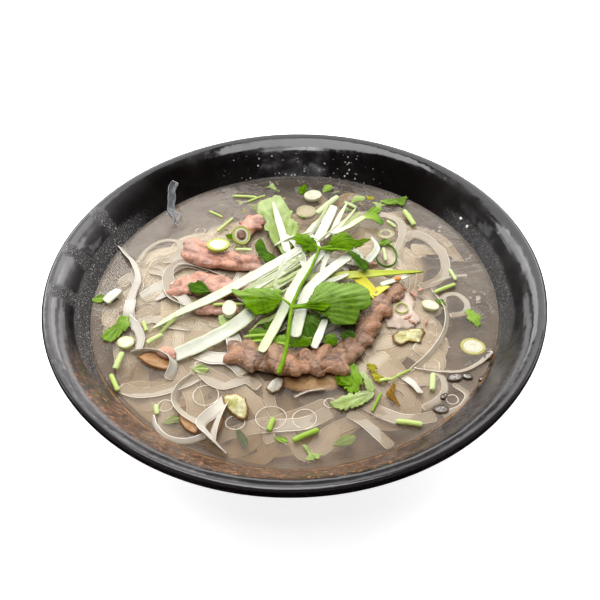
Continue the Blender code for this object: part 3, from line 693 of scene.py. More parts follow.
class Shape:
    """Points of a mesh, each with the values that its material reads."""

    def __init__(self, points=()):
        self.points = list(points)
        self.values = {}

    def add(self, point, **values):
        self.points.append(point)
        for key, value in values.items():
            self.values.setdefault(key, []).append(value)


def write_values(mesh, values):
    for key, numbers in values.items():
        if isinstance(numbers[0], tuple):
            made = mesh.attributes.new(key, "FLOAT_VECTOR", "POINT")
            made.data.foreach_set("vector", [part for number in numbers for part in number])
        else:
            made = mesh.attributes.new(key, "FLOAT", "POINT")
            made.data.foreach_set("value", numbers)


def turn_outward(mesh):
    """Turns a closed mesh's faces so that they all look outward."""
    shell = bmesh.new()
    shell.from_mesh(mesh)
    if shell.calc_volume(signed=True) < 0.0:
        bmesh.ops.reverse_faces(shell, faces=shell.faces)
        shell.to_mesh(mesh)
    shell.free()


def settle_piece(piece, stands_for=None):
    """Rides a piece on the one body and lets it take a CAD solid's place."""
    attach(piece, "root")
    if stands_for:
        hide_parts(stands_for)


def add_piece(name, shape, faces, material, stands_for=None, sharp=None):
    """Makes a closed mesh piece; edges sharper than the angle sharp stay crisp."""
    mesh = bpy.data.meshes.new(name)
    mesh.from_pydata([tuple(point) for point in shape.points], [], faces)
    turn_outward(mesh)
    mesh.shade_smooth()
    if sharp:
        mesh.set_sharp_from_angle(angle=math.radians(sharp))
    write_values(mesh, shape.values)
    mesh.materials.append(MATERIALS[material])
    piece = bpy.data.objects.new(name, mesh)
    bpy.context.collection.objects.link(piece)
    settle_piece(piece, stands_for)
    return piece


def sunk_share(place):
    """How much broth colours a noodle: by depth, more at the front and less on the left."""
    depth = (SOUP_LEVEL - place.z) / MM
    near_side = 0.22 * between((-45 * MM - place.y) / (25 * MM), 0.0, 1.0)
    left_side = 0.30 * between((-20 * MM - place.x) / (20 * MM), 0.0, 1.0) * (place.y > -35 * MM)
    return between((depth - 0.6) / 6.0 + near_side - left_side, 0.0, 0.88)


def band(name, route, width, thickness, material, steps, across=7, tilt=0.0, twist=0.0, hollow=0.0,
         taper=(1.0, 1.0), wobble=0.0, green=(0.0, 0.0), yellow=0.0, sink=True, seed=0, up=(0.0, 0.0, 1.0),
         stands_for=None):
    """A ribbon with rounded edges along a route, its width and thickness in millimetres.

    hollow bends its cross-section; taper is the share of width at its ends; green and yellow colour it."""
    shift = random.Random(seed).uniform(0.0, 50.0)
    spots = path_frames(through(route, steps), up)
    length = sum((two[0] - one[0]).length for one, two in zip(spots, spots[1:]))
    shares = [2.0 * column / (across - 1) - 1.0 for column in range(across)]
    shares = [math.copysign(abs(share) ** 0.6, share) for share in shares]
    loop = [(share, 1.0) for share in shares] + [(share, -1.0) for share in reversed(shares)]
    shape = Shape()
    for index, (point, ahead, side, upward) in enumerate(spots):
        share = index / steps
        angle = math.radians(tilt + twist * (share - 0.5))
        flat = side * math.cos(angle) + upward * math.sin(angle)
        normal = upward * math.cos(angle) - side * math.sin(angle)
        narrow = taper[0] + (1.0 - taper[0]) * min(share * 2.4, 1.0) ** 0.6
        narrow *= taper[1] + (1.0 - taper[1]) * min((1.0 - share) * 2.4, 1.0) ** 0.6
        narrow *= 1.0 - 0.35 * (1.0 - min(min(share, 1.0 - share) * 28.0, 1.0)) ** 2
        half = 0.5 * width * MM * narrow
        half *= 1.0 + wobble * noise.noise(Vector((share * length / (5 * MM), shift, 0.0)))
        local_green = green[0] + (green[1] - green[0]) * share
        for v, level in loop:
            edge = (1.0 - min(abs(v), 1.0) ** 5) ** 0.5
            ripple = wobble * 0.9 * MM * noise.noise(Vector((share * length / (3 * MM), v * 1.3, shift)))
            raised = level * 0.5 * thickness * MM * (0.25 + 0.75 * edge) + ripple
            raised += hollow * half * (v * v - 0.4)
            place = point + flat * half * v + normal * raised
            edge_green = 0.20 * abs(v) ** 8 if green[0] + green[1] else 0.0
            shape.add(
                place,
                grain=(share * length, v * half, shift * MM),
                rim=abs(v) ** 2 if 0.02 < share < 0.98 else 1.0,
                sunk=sunk_share(place) if sink else 0.0,
                green=between(local_green + edge_green, 0.0, 1.0),
                yellow=yellow,
            )
    return add_piece(name, shape, closed_faces(steps + 1, len(loop)), material, stands_for, sharp=70)


def tube(name, places, start_radius, end_radius, material, steps, sides, flat=1.0, lumps=0.05, seed=0,
         green=0.0, stands_for=None):
    """A stalk with rounded ends through places over the soup; radii in millimetres."""
    shape = Shape()
    for index, (point, ahead, side, upward) in enumerate(path_frames(through(all_over_soup(places), steps))):
        share = index / steps
        radius = (start_radius + (end_radius - start_radius) * share) * MM
        radius *= 1.0 - 0.25 * (1.0 - min(min(share, 1.0 - share) * steps * 0.6, 1.0)) ** 2
        for corner in range(sides):
            angle = math.tau * corner / sides
            rough = 1.0 + lumps * noise.noise(Vector((math.cos(angle) + seed, math.sin(angle), share * 9.0)))
            place = point + side * radius * math.cos(angle) * rough
            place += upward * radius * flat * math.sin(angle) * rough
            shape.add(place, grain=(share * 20 * MM, angle * radius, seed * MM), green=green)
    add_piece(name, shape, closed_faces(steps + 1, sides), material, stands_for, sharp=60)


# ---------------------------------------------------------------- bowl

def wall_offset(radius, depth):
    """Radius and height of a point at a depth under the inner wall."""
    step = 0.1 * MM
    lean = math.atan((inside_height(radius + step) - inside_height(radius)) / step)
    return (radius + depth * math.sin(lean), inside_height(radius) - depth * math.cos(lean))


def smooth_profile(points, steps):
    return [(p.x, p.y) for p in through([Vector((r, z, 0.0)) for r, z in points], steps)]


def measured(points, radius=0.0, height=0.0):
    """Profile points given in millimetres from a radius and a height."""
    return [(radius + r * MM, height + z * MM) for r, z in points]


def bowl():
    """One turned profile: foot ring, outer wall, rounded lip and the inside down to its middle."""
    inner_foot = FOOT_RADIUS - FOOT_WIDTH
    under = [(0.1 * MM, FOOT_RECESS + 0.4 * MM)]
    under += measured([(-4.0, 0.1), (-1.2, -1.2)], inner_foot, FOOT_RECESS)
    under += measured([(-0.1, 1.0)], inner_foot)
    foot = measured([(0.6, 0.0)], inner_foot) + measured([(-0.6, 0.0), (0.0, 0.8), (0.3, 5.5)], FOOT_RADIUS)
    knee = measured([(0.6, 9.0), (1.4, 11.6), (3.4, 13.6)], FOOT_RADIUS)
    knee = smooth_profile(knee + [wall_offset(radius * MM, WALL) for radius in (49, 54)], 14)
    outer = [wall_offset(radius * MM, WALL) for radius in range(57, 103, 3)]
    lip = measured([(-1.9, -6.8), (-0.5, -4.6), (0.0, -2.6), (-0.12, -1.3), (-0.6, -0.4), (-1.5, 0.0),
                    (-3.0, -0.20), (-4.8, -0.72), (-6.4, -1.55), (-8.2, -2.85), (-10.0, -4.5)],
                   RIM_RADIUS, BOWL_HEIGHT)
    lip = smooth_profile([wall_offset(103.5 * MM, WALL)] + lip, 72)
    inner = [(radius * MM, inside_height(radius * MM)) for radius in range(103, 0, -3)]
    profile = under + foot + knee + outer + lip + inner + [(0.1 * MM, inside_height(0.0))]
    shape = Shape(turned_points(profile, BOWL_SEGMENTS))
    faces = closed_faces(len(profile), BOWL_SEGMENTS)
    add_piece("glazed_bowl", shape, faces, "glaze", "bowl", sharp=40)


# ---------------------------------------------------------------- noodles

def ribbon(name, places, width, material, tilt, twist, seed, steps=44):
    """A flat rice noodle with its route over the soup in millimetres."""
    return band(name, all_over_soup(places), width, 0.75, material, steps, 7, tilt, twist,
                hollow=0.10, wobble=0.12, seed=seed)


def feature_noodles():
    """Noodles that show one by one: name, width, kind, tilt, twist, route."""
    plain = "clear_noodle"
    white = "white_noodle"
    rows = [
        ("left_edge", 3.5, white, 34, -44,
         [(-88, 43, -0.2), (-83.5, 35, 1.2), (-78.5, 27, 2.2), (-75, 16, 2.4), (-76.5, 6, 1.6),
         (-78.5, -3, 0.6)]),
        ("left_block", 5.0, white, 4, 0,
         [(-77.5, 3, 0.6), (-77, -1.5, 2.2), (-77, -6.5, 2.4), (-76.5, -10, 0.2)]),
        ("left_crowd_0", 5.4, plain, 6, 20,
         [(-84, 14, -0.6), (-79, 19, 0.1), (-75, 12, 0.1), (-80, 5, -0.3)]),
        ("left_crowd_1", 5.4, plain, 8, 0, [(-70, 24, -0.4), (-62, 20, 0.0), (-55, 9, -0.1), (-60, 0, -0.5)]),
        ("left_crowd_2", 6.0, white, -8, 20,
         [(-72, 4, -0.5), (-66, 10, 0.0), (-58, 12, 0.0), (-50, 18, -0.5)]),
        ("left_crowd_3", 5.2, plain, 4, 0,
         [(-68, 33, -0.8), (-60, 31, -0.2), (-52, 36, -0.2), (-46, 44, -0.8)]),
        ("left_crowd_4", 4.6, plain, 6, 30,
         [(-76, -14, -0.6), (-66, -10, 0.1), (-58, -14, 0.0), (-48, -16, -0.8)]),
        ("left_ring", 2.6, plain, 10, 20,
         [(-77, 30, -0.4), (-73, 39, -0.2), (-66, 45, -0.1), (-58, 44, -0.1), (-57, 37, -0.2),
         (-64, 32, -0.4), (-71, 28, -1.2)]),
        ("left_curve", 5.0, plain, 8, 0, [(-72, 29, -0.8), (-63, 25, -0.3), (-59, 16, -0.2), (-61, 8, -1.4)]),
        ("over_beef", 4.2, plain, 18, 30,
         [(-59, 12, 1.2), (-60, 21, 2.2), (-54, 26, 2.4), (-43, 23, 1.4), (-33, 18, 0.4)]),
        ("film", 5.0, plain, 34, 20,
         [(-41, 22.5, 0.8), (-49.6, 25.8, 1.8), (-55.5, 25.2, 2.2), (-60, 19.8, 2.4), (-61, 11.8, 2.4),
         (-58.4, 2.7, 2.0), (-51, -2.2, 0.8)]),
        ("white_bend", 5.6, white, 10, -20, [(-66, 4, -0.4), (-58, 6, 1.6), (-52, 1, 1.6), (-50, -6, 0.2)]),
        ("white_fold", 4.2, white, -28, 30,
         [(-78, -8, 0.2), (-73, -16, 1.9), (-70, -23, 1.6), (-71, -29, -0.4)]),
        ("raised_edge", 5.0, white, 58, -20,
         [(-73, -30, -0.8), (-67, -31, 2.4), (-59, -34, 4.0), (-54, -39, 3.2), (-56, -46, -0.6)]),
        ("wide_arc", 6.2, plain, 6, 0,
         [(-77, -49, -1.0), (-70, -53, -0.4), (-61, -53, -0.3), (-50, -49, -0.3), (-41, -43, -0.8)]),
        ("front_arc", 4.6, plain, 50, -50,
         [(-45, -44, -0.8), (-51, -52, 0.2), (-52, -60, 1.0), (-47, -68, 2.4), (-38, -74, 2.4)]),
        ("cross", 5.0, white, 40, 60,
         [(-30, -58, -0.2), (-34, -66, 3.0), (-40, -74, 4.2), (-36, -80, 3.4), (-29, -87, 0.4)]),
        ("cross_arm", 4.2, white, -48, 10,
         [(-30, -61, 0.6), (-32, -68, 2.8), (-34, -76, 3.2), (-35, -81, 0.0)]),
        ("front_sweep", 2.8, white, 46, 0,
         [(-38, -78, 1.0), (-46, -80, 0.4), (-54, -78, 0.2), (-59, -72, 0.4), (-61, -66, -0.4)]),
        ("by_beef", 5.0, plain, 8, -10,
         [(-43, -36, -0.6), (-40, -45, -0.1), (-32, -51, 0.0), (-22, -48, -0.2), (-16, -52, -0.8)]),
        ("clear_bit", 7.0, white, 12, 20, [(-31, -20, 1.4), (-28, -26, 3.0), (-27, -33, 1.2)]),
        ("under_beef", 7.2, white, 0, 0,
         [(-46, -30, -0.6), (-38, -35, 0.4), (-29, -37, 0.6), (-22, -44, -0.4)]),
        ("right_line", 2.8, plain, 48, 10,
         [(66, 6, -1.0), (70, -6, 0.2), (70, -16, 0.4), (66, -27, 0.4), (58, -38, 0.1), (50, -45, -0.8)]),
        ("right_wall", 2.8, plain, 30, -10,
         [(52, -43, -0.6), (62, -46, 0.1), (72, -46.5, 0.2), (81, -42, 0.4), (87, -36, 0.6)]),
        ("front_broad", 4.8, plain, 4, 0,
         [(22, -67, -0.8), (28, -73, -0.2), (33, -79, -0.2), (38, -85, -0.8)]),
        ("white_end", 3.8, white, 14, 40, [(45, -46, -0.8), (50, -53, 0.7), (53, -59, 1.1)]),
        ("front_right", 6.0, plain, 0, 0,
         [(26, -60, -1.0), (36, -68, -0.3), (46, -72, -0.3), (58, -70, -0.8)]),
        ("right_ring", 3.0, plain, 14, 0,
         [(56, -44, -0.6), (62, -47, -0.2), (64, -54, -0.1), (61, -61, -0.1), (53, -66, -0.6)]),
        ("far_front_right", 3.6, plain, 20, 0,
         [(68, -53, -0.6), (73, -60, -0.1), (69, -67, 0.1), (61, -70, -0.2)]),
        ("dark_curl", 2.6, plain, 50, 30, [(-1, -58, -0.2), (5, -56, 0.9), (12, -55, 0.6)]),
        ("front_middle", 6.6, plain, 0, 0,
         [(-16, -73, -0.8), (-6, -73, -0.2), (4, -72, -0.2), (14, -66, -0.8)]),
        ("back_loop", 4.6, plain, 8, 10,
         [(24, 60, -0.6), (39, 62, -0.2), (50, 60, -0.1), (56, 54, -0.1), (56, 44, -0.1), (53, 34, -0.2),
         (52, 20, -0.8)]),
        ("right_loop", 4.6, plain, -6, 0,
         [(56, 41, -0.6), (62, 45, -0.2), (69, 40, -0.1), (74, 30, -0.1), (74, 18, -0.2), (69, 11, -0.6),
         (60, 8, -1.6)]),
        ("right_thread", 1.8, plain, 0, 0, [(66, 9, -0.4), (76, 13, 0.0), (84, 14, -0.4)]),
        ("right_eye", 2.8, plain, 6, 0,
         [(70, -8, -0.6), (71, 0, -0.2), (77, 1, -0.1), (81, -5, -0.1), (79, -11, -0.2), (72, -12, -0.8)]),
    ]
    for index, (name, width, material, tilt, twist, places) in enumerate(rows):
        ribbon("noodle_" + name, places, width, material, tilt, twist, 100 + index, 12 * len(places))


def hump(x, y, middle_x, middle_y, wide, deep):
    """A soft hill: 1 at its middle, fading out over its half width and half depth."""
    return math.exp(-((x - middle_x) / wide) ** 2 - ((y - middle_y) / deep) ** 2)


def paleness(x, y):
    """How much the noodles crowd up to the surface: on the left, on the right of the middle and behind it."""
    crowds = hump(x, y, -56.0, 8.0, 26.0, 30.0) + hump(x, y, 48.0, -18.0, 22.0, 30.0)
    return min(crowds + hump(x, y, 52.0, 38.0, 16.0, 18.0), 1.0)


def sunken_height(x, y, deep):
    """Height over the soup of a sunken noodle: close under it where they crowd, deep in clear windows."""
    height = deep * (1.0 - 0.76 * paleness(x, y))
    for middle_x, middle_y, reach in CLEAR_WINDOWS:
        height -= 4.0 * math.exp(-(math.hypot(x - middle_x, y - middle_y) / reach) ** 2)
    return max(height, -8.5)


def sunken_start(index, chance):
    """Where a sunken noodle begins: all over the zone, in a crowd, or in a hazy spot at the back."""
    turn = chance.uniform(0.0, math.tau)
    away = math.sqrt(chance.random())
    if index < FIRST_CROWDED:
        x, y, wide, deep = ZONE.x, ZONE.y, 66.0, 58.0
    elif index >= FIRST_HAZY:
        x, y, wide, deep = *HAZY_BACK[index % len(HAZY_BACK)], 7.0, 6.0
    elif index % 2:
        x, y, wide, deep = -58.0, 8.0, 14.0, 24.0
    else:
        x, y, wide, deep = 46.0, -20.0, 14.0, 24.0
    return x + wide * away * math.cos(turn), y + deep * away * math.sin(turn)


def sunken_noodles():
    """Many noodles that wander under the surface; the back and the right of the bowl stay clear broth."""
    chance = random.Random(41)
    for index in range(SUNKEN):
        x, y = sunken_start(index, chance)
        heading = chance.uniform(0.0, math.tau)
        bend = chance.choice((-1, 1)) * chance.uniform(0.08, 0.40)
        deep = chance.uniform(-6.5, -3.0)
        crowd = paleness(x, y)
        near = index % 4 == 0
        hazy = index >= FIRST_HAZY
        places = []
        for _ in range(4 if hazy else 7):
            outside = math.hypot((x - ZONE.x) / ZONE.wide, (y - ZONE.y) / ZONE.deep) > 1.0
            if outside and not hazy:
                homeward = math.atan2(ZONE.y - y, ZONE.x - x)
                heading += math.remainder(homeward - heading, math.tau) * 0.5
            x += 11.0 * math.cos(heading)
            y += 11.0 * math.sin(heading)
            inward = min(NOODLE_REACH / math.hypot(x, y), 1.0)
            x *= inward
            y *= inward
            raised = sunken_height(x, y, 0.45 * deep if near else deep) + chance.uniform(-0.5, 0.5)
            places.append((x, y, min(raised, -0.8)))
            heading += bend + chance.uniform(-0.25, 0.25)
        material = "clear_noodle" if near else "pale_noodle" if crowd > 0.35 else "noodle"
        if crowd > 0.45 and index % 3 == 1:
            material = "white_noodle"
        piece = ribbon("noodle_sunk_%03d" % index, places, chance.uniform(4.4, 8.0), material,
                       chance.uniform(-10, 10), chance.uniform(-24, 24), 300 + index, 42)
        piece.visible_shadow = False


def heap_noodles():
    """The heap that carries the beef and the herbs: short tight loops that break the surface."""
    chance = random.Random(77)
    for index in range(34):
        turn = chance.uniform(0.0, math.tau)
        away = 30.0 * math.sqrt(chance.random())
        x = 3.0 + 1.1 * away * math.cos(turn)
        y = 0.85 * away * math.sin(turn)
        heading = chance.uniform(0.0, math.tau)
        bend = chance.choice((-1, 1)) * chance.uniform(0.3, 0.7)
        places = []
        for _ in range(6):
            x += 7.0 * math.cos(heading)
            y = max(y + 7.0 * math.sin(heading), -38.0)
            near = math.exp(-0.5 * ((x - 5.0) ** 2 + (y + 2.0) ** 2) / 26.0 ** 2)
            places.append((x, y, -3.6 + 8.2 * near + chance.uniform(-0.9, 0.7)))
            heading += bend + chance.uniform(-0.3, 0.3)
        material = "white_noodle" if index % 3 else "noodle"
        ribbon("noodle_heap_%02d" % index, places, chance.uniform(4.2, 6.4), material,
               chance.uniform(-20, 20), chance.uniform(-60, 60), 500 + index)


def noodle_core():
    """Packed noodles under the heap, seen only in the gaps."""
    rings = 26
    segments = 72
    shape = Shape()
    for ring in range(rings + 1):
        radius = 47.0 * MM * ring / rings
        for segment in range(segments):
            angle = math.tau * segment / segments
            x = 5 * MM + radius * math.cos(angle)
            y = 3 * MM + 0.9 * radius * math.sin(angle)
            swell = math.exp(-0.5 * (radius / (24 * MM)) ** 2)
            height = -9.0 + 11.0 * swell + 1.4 * noise.noise(Vector((x, y, 0.0)) * 160.0)
            sunk = between(0.25 - height / 9.0, 0.25, 0.85)
            shape.add(over_soup(x / MM, y / MM, height), grain=(x, y, 0.0), rim=0.3, sunk=sunk)
    for index in range(rings * segments, (rings + 1) * segments):
        x, y = shape.points[index].to_2d()
        base = Vector((x, y, SOUP_LEVEL - 16 * MM))
        shape.add(base, grain=shape.values["grain"][index], rim=0.3, sunk=shape.values["sunk"][index])
    add_piece("noodle_core", shape, closed_faces(rings + 2, segments), "noodle", "noodles")


def wall_noodle():
    """A glassy noodle stuck to the back of the bowl's wall, its end on the soup."""
    on_wall = ((-61.5, 83, 8.7), (-64, 79.5, 6.6), (-63.5, 76.5, 4.6), (-64, 74, 2.6), (-64.5, 72.0, 1.0))
    route = []
    for x, y, height in on_wall:
        outward = Vector((x, y, 0.0)).normalized()
        place = outward * (inside_radius(SOUP_LEVEL + height * MM) - 0.9 * MM)
        place.z = SOUP_LEVEL + height * MM
        route.append(place)
    route += all_over_soup([(-63, 68, 0.5), (-60.5, 63, 0.3), (-60, 58, -0.4)])
    band("noodle_stuck_to_wall", route, 4.2, 0.8, "glassy_noodle", 70, 9, twist=24,
         hollow=0.25, wobble=0.35, sink=False, seed=9, up=(0.45, -0.6, 0.7), stands_for="noodle_on_wall")


# ---------------------------------------------------------------- beef

def blob(centre, size, turn, start=0):
    """Points and faces of a low ball, stretched by size and turned about Z; start numbers its first point."""
    rows = 7
    columns = 10
    spin = Matrix.Rotation(turn, 3, "Z")
    points = []
    for row in range(rows):
        up = math.pi * (row + 0.02) / (rows - 1 + 0.04)
        for column in range(columns):
            around = math.tau * column / columns
            local = Vector((math.sin(up) * math.cos(around), math.sin(up) * math.sin(around), math.cos(up)))
            points.append(centre + spin @ Vector((local.x * size[0], local.y * size[1], local.z * size[2])))
    return points, [tuple(index + start for index in face) for face in closed_faces(rows, columns)]


def melted(name, points, faces):
    """A mesh object of balls melted into one skin."""
    mesh = bpy.data.meshes.new(name)
    mesh.from_pydata([tuple(point) for point in points], [], faces)
    piece = bpy.data.objects.new(name, mesh)
    bpy.context.collection.objects.link(piece)
    remesh = piece.modifiers.new("even", "REMESH")
    remesh.mode = "VOXEL"
    remesh.voxel_size = 0.42 * MM
    piece.modifiers.new("soften", "SMOOTH").iterations = 6
    bpy.context.view_layer.update()
    piece.data = bpy.data.meshes.new_from_object(piece.evaluated_get(bpy.context.evaluated_depsgraph_get()))
    piece.modifiers.clear()
    piece.data.name = name
    return piece


def ridge(place, sharpness):
    """1 on thin winding lines, 0 between them."""
    return max(1.0 - abs(noise.noise(place)) * sharpness, 0.0) ** 2


def crumpled(name, stands_for, material, width, height, lobes, slant, lobe_size, rough, seed, every, blunt,
             route):
    """Meat folded on itself: lobes packed along a route in millimetres, melted together, creased and torn.

    slant is the range of angles in radians between the route and a lobe; rough is the depth of creases;
    every is the number of steps between lobes; a larger blunt keeps the route's start thick."""
    chance = random.Random(seed)
    points = []
    faces = []
    lumps = []
    tones = []
    spots = path_frames(through(all_over_soup(route), 5 * len(route)))
    step = (spots[1][0] - spots[0][0]).length
    packed = every == 1

    def add_blob(centre, size, turn):
        more = blob(centre, size, turn, len(points))
        points.extend(more[0])
        faces.extend(more[1])

    for index, (point, ahead, side, upward) in enumerate(spots):
        share = index / (len(spots) - 1)
        taper = math.sin(math.pi * (blunt + (0.86 - blunt) * share)) ** 0.6
        heading = math.atan2(ahead.y, ahead.x)
        half = 0.5 * width * MM * taper
        tall = 0.5 * height * MM * taper
        body = 0.80 if packed else 0.92
        add_blob(point, (1.5 * step, body * half, body * tall), heading)
        for _ in range(lobes if index % every == 0 else 0):
            off = chance.uniform(-0.8, 0.8) / every ** 0.5
            size = lobe_size * MM * chance.uniform(0.65, 1.3)
            raised = chance.uniform(0.2, 0.8) * (1.0 if packed else 0.65)
            spot = point + side * off * half + upward * tall * (1.0 - off * off) * raised
            lean = chance.choice((-1, 1)) * chance.uniform(*slant)
            add_blob(spot, (1.6 * size, 0.75 * size, 0.62 * size), heading + lean)
            lumps.append(spot)
            tones.append(chance.random())
    nearest = kdtree.KDTree(len(lumps))
    for index, spot in enumerate(lumps):
        nearest.insert(spot, index)
    nearest.balance()
    piece = melted(name, points, faces)
    skin = piece.data
    along = (spots[-1][0] - spots[0][0]).normalized()
    values = {"crease_shade": [], "tone": []}
    for vertex, normal in zip(skin.vertices, [vertex.normal.copy() for vertex in skin.vertices]):
        place = vertex.co
        aside = place * 300.0 + Vector((9.0, 0.0, 0.0))
        wander = Vector((noise.noise(place * 300.0), noise.noise(aside), 0.0))
        two = nearest.find_n(place + wander * 1.2 * MM, 2)
        seam = 0.0 if packed or len(two) < 2 else math.exp(-((two[1][2] - two[0][2]) / (0.40 * MM)) ** 2)
        grain = place - along * place.dot(along) * 0.7 + Vector((seed, 0.0, 0.0)) * MM
        swell = 0.34 * noise.noise(place * 240.0) + 0.08 * noise.noise(grain * 900.0)
        folds = 0.45 * ridge(grain * 170.0, 6.0) + 0.22 * ridge(grain * 420.0 + Vector((0.0, 0.0, 5.0)), 5.0)
        lift = rough * (swell - folds)
        # crease_shade marks the creases and the seams between lobes, where the beef's material paints shade.
        values["crease_shade"].append(between(0.5 + 0.5 * lift / max(rough, 0.1) - 0.20 * seam, 0.0, 1.0))
        values["tone"].append(tones[two[0][1]])
        vertex.co = place + normal * (lift - 0.22 * seam) * MM
    write_values(skin, values)
    turn_outward(skin)
    skin.shade_smooth()
    skin.materials.clear()
    skin.materials.append(MATERIALS[material])
    settle_piece(piece, stands_for)


def patch(name, stands_for, material, slot, thickness, wave, seed, dome, outline):
    """A thin uneven sheet inside a closed outline given in millimetres."""
    edge = through(all_over_soup(outline + outline[:1]), 71)[:-1]
    middle = sum(edge, Vector((0.0, 0.0, 0.0))) / len(edge)
    rings = 12
    shape = Shape()
    for level in (0.5, -0.5):
        for ring in range(1, rings + 1):
            share = ring / rings
            for border in edge:
                ragged = 1.0 + 0.11 * noise.noise(border * 520.0) * share
                place = middle.lerp(border, share * ragged)
                bumps = noise.noise(place * 170.0 + Vector((seed, 0.0, 0.0)))
                bumps += 0.4 * noise.noise(place * 480.0)
                slim = (1.0 - share ** 6) ** 0.5 * 0.8 + 0.2
                place.z += (wave * bumps + dome * (1.0 - share ** 2) + level * thickness * slim) * MM
                shape.add(place, rim=share ** 2)
    add_piece(name, shape, sheet_faces(rings, len(edge)), material, stands_for)


def beef():
    """Slices and morsels of meat, then the fat, a rind and amber sheets beside them; the amber sheets are
    painted shade, the broth's amber where meat and raised noodles keep the sheen off it.
    """
    for row in (  # name, CAD solid, kind, width, height, lobes, slant, lobe size, rough, seed, every, blunt
        ("rolled", "beef_rolled_slice", "pink_beef", 14.5, 7.8, 1, (0.0, 0.15), 3.4, 0.35, 3, 1, 0.32,
         [(-52, 34.5, 2.6), (-50, 33, 3.0), (-44, 29.5, 2.8), (-32, 25.5, 2.6), (-17, 22, 2.4)]),
        ("flat", "beef_flat_slice", "pink_beef", 13, 4.4, 2, (0.0, 0.7), 3.0, 0.6, 5, 1, 0.14,
         [(-57, 6, 1.2), (-50, 11, 1.6), (-40, 11, 1.8), (-26, 5, 1.6)]),
        ("tucked", "beef_tucked_slice", "pink_beef", 8, 4.4, 2, (0.3, 1.3), 2.4, 0.7, 7, 1, 0.14,
         [(-45, -6, 1.4), (-36, -5, 2.0), (-28, -10, 2.0)]),
        ("back", "beef_back_morsel", "pink_beef", 9.5, 5.0, 2, (0.2, 1.2), 2.6, 0.7, 9, 1, 0.14,
         [(-27, 47, 1.6), (-20, 53, 2.2), (-14, 61, 1.6)]),
        ("front", "beef_front_slice", "beef", 14, 7.2, 2, (0.6, 1.2), 5.2, 0.6, 11, 4, 0.14,
         [(-25, -36, 2.0), (-17, -39, 2.6), (-9, -41, 3.0), (-1, -43, 3.2), (8, -42, 2.8)]),
        ("front_fold", "beef_front_fold", "beef", 12, 7.6, 2, (0.5, 1.2), 5.0, 0.6, 13, 4, 0.14,
         [(7, -42, 2.6), (14, -42, 3.2), (21, -40, 3.0), (26, -33, 2.8)]),
        ("right", "beef_right_fold", "beef", 12.5, 8.0, 2, (0.4, 1.2), 5.0, 0.6, 15, 4, 0.14,
         [(25, -34, 2.6), (31, -26, 3.2), (35, -16, 3.4), (40, -7, 2.8)]),
        ("tip", "beef_right_tip", "beef", 8, 5.0, 2, (0.2, 1.2), 2.6, 0.6, 17, 1, 0.14,
         [(40, -6, 2.2), (44, -1, 2.2), (50, 5, 1.6)]),
        ("ball", "beef_left_morsel", "pink_beef", 6.2, 6.0, 1, (0.0, 0.4), 2.3, 0.15, 19, 1, 0.4,
         [(-58.2, -33.2, 2.2), (-56.2, -33.7, 2.2)]),
    ):
        crumpled("meat_" + row[0], *row[1:])
    for row in (  # name, CAD solid, kind, slot, thickness, wave, seed, dome
        ("meat_fat", "beef_fat_piece", "beef_fat", "beef_fat", 0.5, 0.9, 23, 0.7,
         [(42.5, -5, 0.8), (48, 3, 0.5), (55, 3, 0.2), (57, -3, 0.3), (55, -9, 0.3), (58, -14, 0.2),
         (55, -19, 0.3), (49, -20, 0.5), (42, -18, 0.9)]),
        ("rind_patch", None, "rind", "beef_fat", 0.6, 1.2, 24, 0.3,
         [(43.6, -26, 1.2), (46.2, -23.6, 1.5), (48.5, -22.2, 1.6), (53.5, -21.4, 1.6), (59.4, -23.4, 1.2),
         (57.4, -26.4, 1.0), (56.2, -29.6, 0.8), (51.4, -29.2, 0.9), (47.6, -30.8, 0.9), (44.6, -29.6, 1.0)]),
        # Amber sheets: painted shade where the meat and the raised noodles keep the softbox's sheen off the
        # broth.
        ("amber_pocket", None, "pocket", "beef_fat", 0.7, 0.4, 25, 0.6,
         [(-71, -34.0, 0.8), (-66.5, -30.8, 1.1), (-60.5, -32.0, 1.3), (-55.5, -36.5, 1.3),
         (-54.5, -41.5, 1.0), (-57, -42.0, 0.9), (-60.5, -41.0, 0.9), (-66, -38.0, 0.8)]),
        ("amber_sheet", None, "sheet", "beef_fat", 0.5, 0.3, 29, 0.2,
         [(-7.5, -40.5, -0.2), (2, -42.5, -0.2), (14, -44.5, -0.1), (23.5, -47.0, -0.1), (21.5, -51.5, -0.3),
         (15.0, -54.5, -0.5), (6.0, -55.0, -0.6), (-2.5, -53.5, -0.6), (-7.0, -48.5, -0.4)]),
        ("amber_flap_0", None, "pocket", "beef_fat", 0.6, 0.3, 26, 0.3,
         [(-50, -65.5, 0.9), (-45.5, -69.5, 1.1), (-41.2, -73.0, 1.1), (-41.6, -76.4, 0.8),
         (-45.5, -75.0, 0.7), (-48.8, -70.5, 0.7)]),
        ("amber_flap_1", None, "pocket", "beef_fat", 0.6, 0.3, 27, 0.3,
         [(-32.6, -65.5, 1.2), (-31.0, -69.0, 1.1), (-32.4, -75.0, 0.9), (-35.0, -80.0, 0.7),
         (-35.2, -75.0, 0.9), (-34.0, -70.0, 1.1)]),
    ):
        patch(*row)
    # Scraps: x, y, turn in radians, size.
    bits = ((52, -14.5, 0.5, 0.8), (56.5, 0.5, 2.2, 0.8), (60.5, -17.5, 1.2, 0.6), (38.0, 22, 0.3, 1.0),
            (54, -17.5, 2.6, 0.7), (60, 3.5, 0.4, 0.6), (49.5, 0.5, 1.6, 0.8))
    for index, (x, y, turn, size) in enumerate(bits):
        dx = 2.6 * size * math.cos(turn)
        dy = 2.6 * size * math.sin(turn)
        route = [(x - dx, y - dy, 0.9), (x, y, 1.4), (x + dx, y + dy, 0.9)]
        crumpled("meat_bit_%d" % index, None, "pink_beef", 2.6 * size, 1.9 * size, 1, (0.0, 0.8), 0.9 * size,
                 0.4, 30 + index, 1, 0.14, route)


